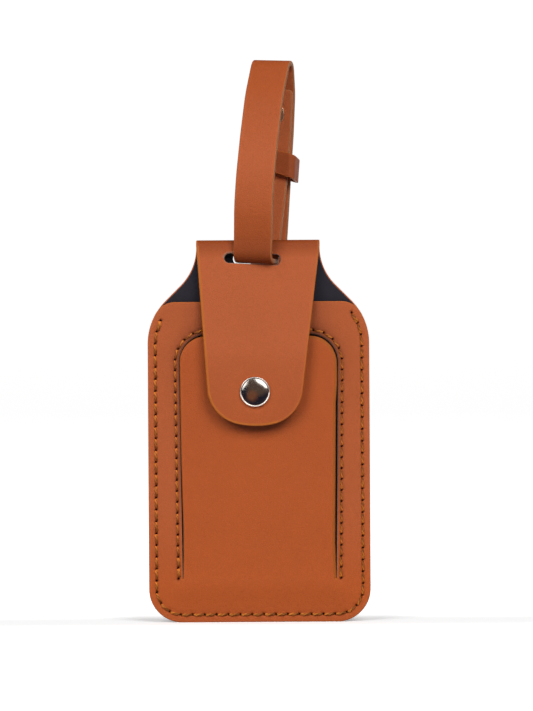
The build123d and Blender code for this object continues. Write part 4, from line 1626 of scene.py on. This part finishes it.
class TAG_OT_tongue(bpy.types.Operator):
    """The arched tongue, puffed over the window and rooted in the front, with its lining"""
    bl_idname = "tag.tongue"
    bl_label = "Tongue"

    def execute(self, context):
        look = context.scene.tag_look
        outline = self.closing_slit(rounded(arch_corners(SLIT_W, ARCH_FOOT_H)))
        edge = outline[outline[:, 1] > ARCH_FOOT_H + 0.5]
        rise = TONGUE_FACE_D - FRONT_FACE_D

        def risen(flat):
            return rise * smooth_step((flat[:, 1] - ARCH_FOOT_H) / TONGUE_RISE_H)

        def puffed(flat):
            roll = np.clip(1 - nearest(flat, edge) / TONGUE_PUFF_W, 0, 1)
            return risen(flat) - TONGUE_PUFF * roll**2

        rows = even_rows(ARCH_FOOT_H, ARCH_TOP_H, 0.9)
        back = FRONT_FACE_D - LEATHER_T
        leather = sheet("tongue_leather", outline, [], flat_place, back, FRONT_FACE_D, TONGUE_EDGE_R,
                        rows, 0.9, relief=puffed, back_relief=risen, lip=self.lip, back_edge_r=TONGUE_BACK_R,
                        seam=ARCH_FOOT_H)
        bend = self.bend_points()
        hide = leather_finish("tongue_hide", look, self.tones(), look.tongue_edge)
        dress(leather, hide, "pouch", "leather", ["tongue"], "tongue", bend)
        inner = rounded(arch_corners(SLIT_W + LINING_INSET, ARCH_FOOT_H + 0.4, 1.0))
        cloth = sheet("tongue_cloth", inner, [], flat_place, back - LINING_T, back - CLOTH_GAP, CLOTH_EDGE_R,
                      rows, 1.2, relief=risen, back_relief=risen)
        weave = cloth_finish("tongue_weave", look)
        dress(cloth, weave, "pouch", "lining", ["tongue_lining"], "tongue", bend)
        return {"FINISHED"}

    @staticmethod
    def closing_slit(outline):
        """The tongue's outline, moved sideways to give the slit its width at each height."""
        left, right = (np.interp(outline[:, 1], *zip(*gaps)) for gaps in (SLIT_LEFT, SLIT_RIGHT))
        gap = np.where(outline[:, 0] < 0, left, right)
        outline[:, 0] += np.sign(outline[:, 0]) * (SLIT_W - gap)
        return outline

    @staticmethod
    def tones():
        """The hide's tones up from the tongue's foot, lighter low down: painted light against the shade where the
        tongue rises from its foot.
        """
        foot = POUCH[2]
        return (foot + ARCH_FOOT_H, 1.0, 1.15), (foot + 30, 1.0, 1.1), (foot + 75, 1.0, 1.03)

    @staticmethod
    def lip(ring, hole):
        """The painted edge shows on the tongue's right side."""
        return np.where(ring[:, 0] > 0, 1.0, 0.0)

    @staticmethod
    def bend_points():
        """Where the tongue starts to bend and where it moves as one."""
        below, above = 0.4, 5.0
        spot = Vector(TONGUE_HINGE)
        return (spot - Vector((0, 0, below))) * MM, (spot + Vector((0, 0, above))) * MM


class TAG_OT_window(bpy.types.Operator):
    """The clear film behind the arch and the address card in its pocket"""
    bl_idname = "tag.window"
    bl_label = "Window and Card"

    def execute(self, context):
        look = context.scene.tag_look
        corners = arch_corners(-PATCH_W, ARCH_FOOT_H - PATCH_W, 2.0)

        def rippled(flat):
            return 0.03 * np.sin(flat[:, 0] / 7.0) * np.sin(flat[:, 1] / 11.0 + 1.0)

        film = sheet("window_film", rounded(corners), [], flat_place, WINDOW_BACK_D, WINDOW_BACK_D + FILM_T,
                     0.05, even_rows(10, 94, 2.0), 2.0, relief=rippled)
        dress(film, film_finish("clear_film"), "pouch", "film", ["window"])
        half_w, height = card_size[0] / 2, card_size[2]
        foot = card_mid[2] - height / 2 - POUCH[2]
        card_corners = [(x, y, CARD_CORNER_R) for x, y in (
            (half_w, foot), (half_w, foot + height), (-half_w, foot + height), (-half_w, foot))]
        card = sheet("card_paper", rounded(card_corners), [], flat_place, CARD_BACK_D,
                     CARD_BACK_D + card_size[1], 0.04, even_rows(foot, foot + height, 2.5), 2.5)
        dress(card, card_finish("ruled_card", look), "card", "card", ["address_card"])
        return {"FINISHED"}


class TAG_OT_seams(bpy.types.Operator):
    """The outer row of stitches, front and back, and the row round the arch"""
    bl_idname = "tag.seams"
    bl_label = "Seams"

    def execute(self, context):
        sewing, look = context.scene.tag_sewing, context.scene.tag_look
        seam_spans, arch_spans = (row[2] for row in seam_rows(sewing))
        thread = thread_finish("waxed_thread", look)
        radius, sink = sewing.thread_d / MM / 2, sewing.hole_depth / MM * 0.7

        def front_face(flat):
            return FRONT_RIM_BACK_D + LEATHER_T + crown(flat) - 0.1

        def rear_face(flat):
            return np.full(len(flat), 0.08)

        outer = seam_spans + doubled(seam_spans, (0, -1), LOCK_SHIFT)
        inner = arch_spans + doubled(arch_spans, (0, 1, -2, -1), LOCK_SHIFT)
        rows = [
            ("seam_thread_front", outer, front_face, 1, 1.0),
            ("arch_thread", inner, front_face, 1, ARCH_THREAD),
            ("seam_thread_back", seam_spans, rear_face, -1, 1.0),
        ]
        for name, spans, face, away, share in rows:
            dress(stitches(name, spans, flat_place, face, away, radius * share, sink), thread, "pouch")
        return {"FINISHED"}


class TAG_OT_flap_snap(bpy.types.Operator):
    """The flap's snap: dished cap and socket on the flap, stud and post on the tongue"""
    bl_idname = "tag.flap_snap"
    bl_label = "Flap Snap"

    def execute(self, context):
        look = context.scene.tag_look
        centre = box_mm("flap_snap_cap")[0]
        brass = metal_finish("flap_snap_brass", look.brass, 0.28)
        chrome = metal_finish("flap_snap_chrome", look.chrome, 0.05)
        forward = np.array((0.0, -1.0, 0.0))
        flap_inner, tongue_back = FLAP_D - LINING_T, TONGUE_FACE_D - LEATHER_T - LINING_T
        socket, stud = socket_profile(FLAP_SOCKET_H), stud_profile(FLAP_STUD_H)
        places = [
            ("flap", "cap", snap_cap_profile(), FLAP_D + LEATHER_T, 1, chrome, "snap_cap"),
            ("flap", "socket", socket, flap_inner, -1, brass, "snap_inner"),
            ("tongue", "stud", stud, TONGUE_FACE_D, 1, brass, "snap_inner"),
            ("tongue", "post", post_profile(FLAP_POST_D), tongue_back, -1, brass, "snap_inner"),
        ]
        for body, name, profile, depth, side, metal, slot in places:
            spot = np.array((centre[0], POUCH[1] - depth, centre[2]))
            made = lathe(f"{body}_{name}", profile, spot, forward * side)
            dress(made, metal, body, slot, [f"{body}_snap_{name}"])
        return {"FINISHED"}


# ---- Stage

# What the camera looks at, across and up
VIEW_SPOT = (-2.4, -92.5)
CAMERA_ROLL = 0.35
# The soft lights' distance and side, in metres
LIGHT_DISTANCE, LIGHT_SIZE = 2.0, 1.09

# The floor's start in front of the tag, and its (length, turn in degrees) stretches to the wall's top
FLOOR_START = -3000
FLOOR_MOVES = [(7000, 0), (1200, 90), (1500, 0)]
# Half the floor's width and the distances from the tag where its glow starts to rise and is full, in
# metres
FLOOR_HALF_W, GLOW_FROM, GLOW_FULL = 3.5, 0.008, 0.04

# The dark flag as (across, up) from the flap's cap, and how far it stands in front
FLAG_OUTLINE = [
    (1, -64), (27, -64), (39, -36), (62, -10), (150, 0), (150, 200), (-150, 200), (-150, -19), (-48, -20),
    (-32, -34), (-12, -45),
]
FLAG_AWAY = 200
FLAG_COLOUR = (0.008, 0.008, 0.017, 1)
# Its brown patches, as (across, up, reach, colour), and the width over which they fade
FLAG_PATCHES = (
    (-14, -36, 56, (0.07, 0.045, 0.034, 1)),
    (12, 16, 27, (0.15, 0.055, 0.028, 1)),
)
PATCH_FADE = 16.0


def soft_light(name, target, turn, rise, power):
    """A square soft light that looks at a target from the given degrees to its right and above it."""
    turn, rise = math.radians(turn), math.radians(rise)
    away = Vector((math.sin(turn) * math.cos(rise), -math.cos(turn) * math.cos(rise), math.sin(rise)))
    lamp = bpy.data.lights.new(name, "AREA")
    lamp.size, lamp.energy = LIGHT_SIZE, power
    made = bpy.data.objects.new(name, lamp)
    made.location = target + away * LIGHT_DISTANCE
    made.rotation_mode = "QUATERNION"
    made.rotation_quaternion = away.to_track_quat("Z", "Y")
    bpy.context.scene.collection.objects.link(made)


class TAG_OT_stage(bpy.types.Operator):
    """Camera, pale floor with a sweep behind, and soft lights"""
    bl_idname = "tag.stage"
    bl_label = "Stage"

    def execute(self, context):
        studio = context.scene.tag_studio
        target = Vector((VIEW_SPOT[0], POUCH[1], VIEW_SPOT[1])) * MM
        self.camera(studio, target)
        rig.stage(self.sweep(studio, CAD_BOX[0].z))
        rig.stage(self.flag())
        soft_light("key_light", target, 25, 35, studio.key_power)
        soft_light("fill_light", target, -30, 30, studio.fill_power)
        world = bpy.data.worlds.new("white_room")
        context.scene.world = world
        world.use_nodes = True
        background = world.node_tree.nodes["Background"].inputs
        background["Color"].default_value = (1, 1, 1, 1)
        background["Strength"].default_value = studio.room_light
        context.scene.view_settings.view_transform = "Standard"
        return {"FINISHED"}

    @staticmethod
    def camera(studio, target):
        """A camera straight in front of its target, which frames the height that was set."""
        lens = bpy.data.cameras.new("camera")
        camera = bpy.data.objects.new("camera", lens)
        bpy.context.scene.collection.objects.link(camera)
        lens.sensor_width = 36.0
        lens.lens = lens.sensor_width * studio.camera_distance / studio.frame_height
        camera.location = target - Vector((0, studio.camera_distance, 0))
        camera.rotation_euler = (math.pi / 2, math.radians(CAMERA_ROLL), 0)
        lens.clip_start, lens.clip_end = 0.05, 20
        bpy.context.scene.camera = camera

    @staticmethod
    def sweep(studio, height):
        """A floor that curves up into a wall behind."""
        line = walk((FLOOR_START, 0), 0, FLOOR_MOVES, step=60)
        points = [(side * FLOOR_HALF_W, y * MM, height + z * MM) for y, z in line for side in (-1, 1)]
        faces = [(2 * k, 2 * k + 1, 2 * k + 3, 2 * k + 2) for k in range(len(line) - 1)]
        made = new_mesh("studio_floor", points, faces)
        made.visible_diffuse = False
        f = Finish("pale_floor")
        haze = f.noise(f.place(), 0.004, 2.0)
        tone = f.mix(haze, shade(studio.floor, 0.99), shade(studio.floor, 1.01))
        depth = f.node("ShaderNodeSeparateXYZ", None, {"Vector": f.place((1.0, 1.0, 1.0))})["Y"]
        away = (depth - float(POUCH[1] * MM)).math("ABSOLUTE")
        near = f.node("ShaderNodeMapRange", {"interpolation_type": "SMOOTHSTEP"}, {
            "Value": away, "From Min": GLOW_FROM, "From Max": GLOW_FULL, "To Min": studio.near_glow,
            "To Max": 1.0})["Result"]
        made.data.materials.append(f.surface({
            "Base Color": tone, "Roughness": 0.9, "Specular IOR Level": 0.1,
            "Emission Color": f.scaled((1, 1, 1), near), "Emission Strength": studio.floor_glow}))
        return made

    @staticmethod
    def flag():
        """A dark flag in front with brown patches, seen only in the polished caps."""
        spot = box_mm("flap_snap_cap")[0] - (0, FLAG_AWAY, 0)
        points = [(spot + (x, 0, z)) * MM for x, z in FLAG_OUTLINE]
        made = new_mesh("dark_flag", points, [tuple(range(len(points)))])
        f = Finish("flag_cloth")
        where = f.place()
        colour = FLAG_COLOUR
        for x, z, reach, tint in FLAG_PATCHES:
            away = f.node("ShaderNodeVectorMath", {"operation": "DISTANCE"}, {
                0: where, 1: tuple(spot + (x, 0, z))})["Value"]
            mask = f.node("ShaderNodeMapRange", None, {
                "Value": away + f.noise(where, 0.06, 2.0) * 24.0, "From Min": float(reach + PATCH_FADE),
                "From Max": float(reach)})
            colour = f.mix(mask["Result"], colour, tint)
        made.data.materials.append(f.surface({
            "Base Color": (0, 0, 0, 1), "Roughness": 1.0, "Specular IOR Level": 0.0,
            "Emission Color": colour, "Emission Strength": 1.0}))
        made.visible_camera = made.visible_diffuse = made.visible_shadow = False
        return made


class TAG_PT_panel(bpy.types.Panel):
    bl_label = "Luggage Tag"
    bl_idname = "TAG_PT_panel"
    bl_space_type = "VIEW_3D"
    bl_region_type = "UI"
    bl_category = "Luggage Tag"

    def draw(self, context):
        layout = self.layout
        for group in (context.scene.tag_look, context.scene.tag_sewing, context.scene.tag_studio):
            for key in group.bl_rna.properties.keys():
                if key not in ("rna_type", "name"):
                    layout.prop(group, key)
        for operator in OPERATORS:
            layout.operator(operator.bl_idname)


OPERATORS = (
    TAG_OT_stage, TAG_OT_back, TAG_OT_flap, TAG_OT_front, TAG_OT_tongue, TAG_OT_window, TAG_OT_seams,
    TAG_OT_flap_snap, TAG_OT_strap, TAG_OT_strap_snap, TAG_OT_keeper,
)
GROUPS = (TagLook, TagSewing, TagStudio)


def register():
    for made in (*GROUPS, *OPERATORS, TAG_PT_panel):
        bpy.utils.register_class(made)
    bpy.types.Scene.tag_look = PointerProperty(type=TagLook)
    bpy.types.Scene.tag_sewing = PointerProperty(type=TagSewing)
    bpy.types.Scene.tag_studio = PointerProperty(type=TagStudio)


def unregister():
    del bpy.types.Scene.tag_studio, bpy.types.Scene.tag_sewing, bpy.types.Scene.tag_look
    for made in (TAG_PT_panel, *reversed(OPERATORS), *reversed(GROUPS)):
        bpy.utils.unregister_class(made)


def main():
    register()
    for operator in OPERATORS:
        kind, action = operator.bl_idname.split(".")
        result = getattr(getattr(bpy.ops, kind), action)()
        if result != {"FINISHED"}:
            raise RuntimeError(f"{operator.bl_label} wasn't made")
    sizes = {"cad": [list(c) for c in CAD_BOX], "visual": [list(c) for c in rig.bounds()]}
    with open("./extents.json", "w") as out:
        json.dump(sizes, out)


if __name__ == "__main__":
    main()
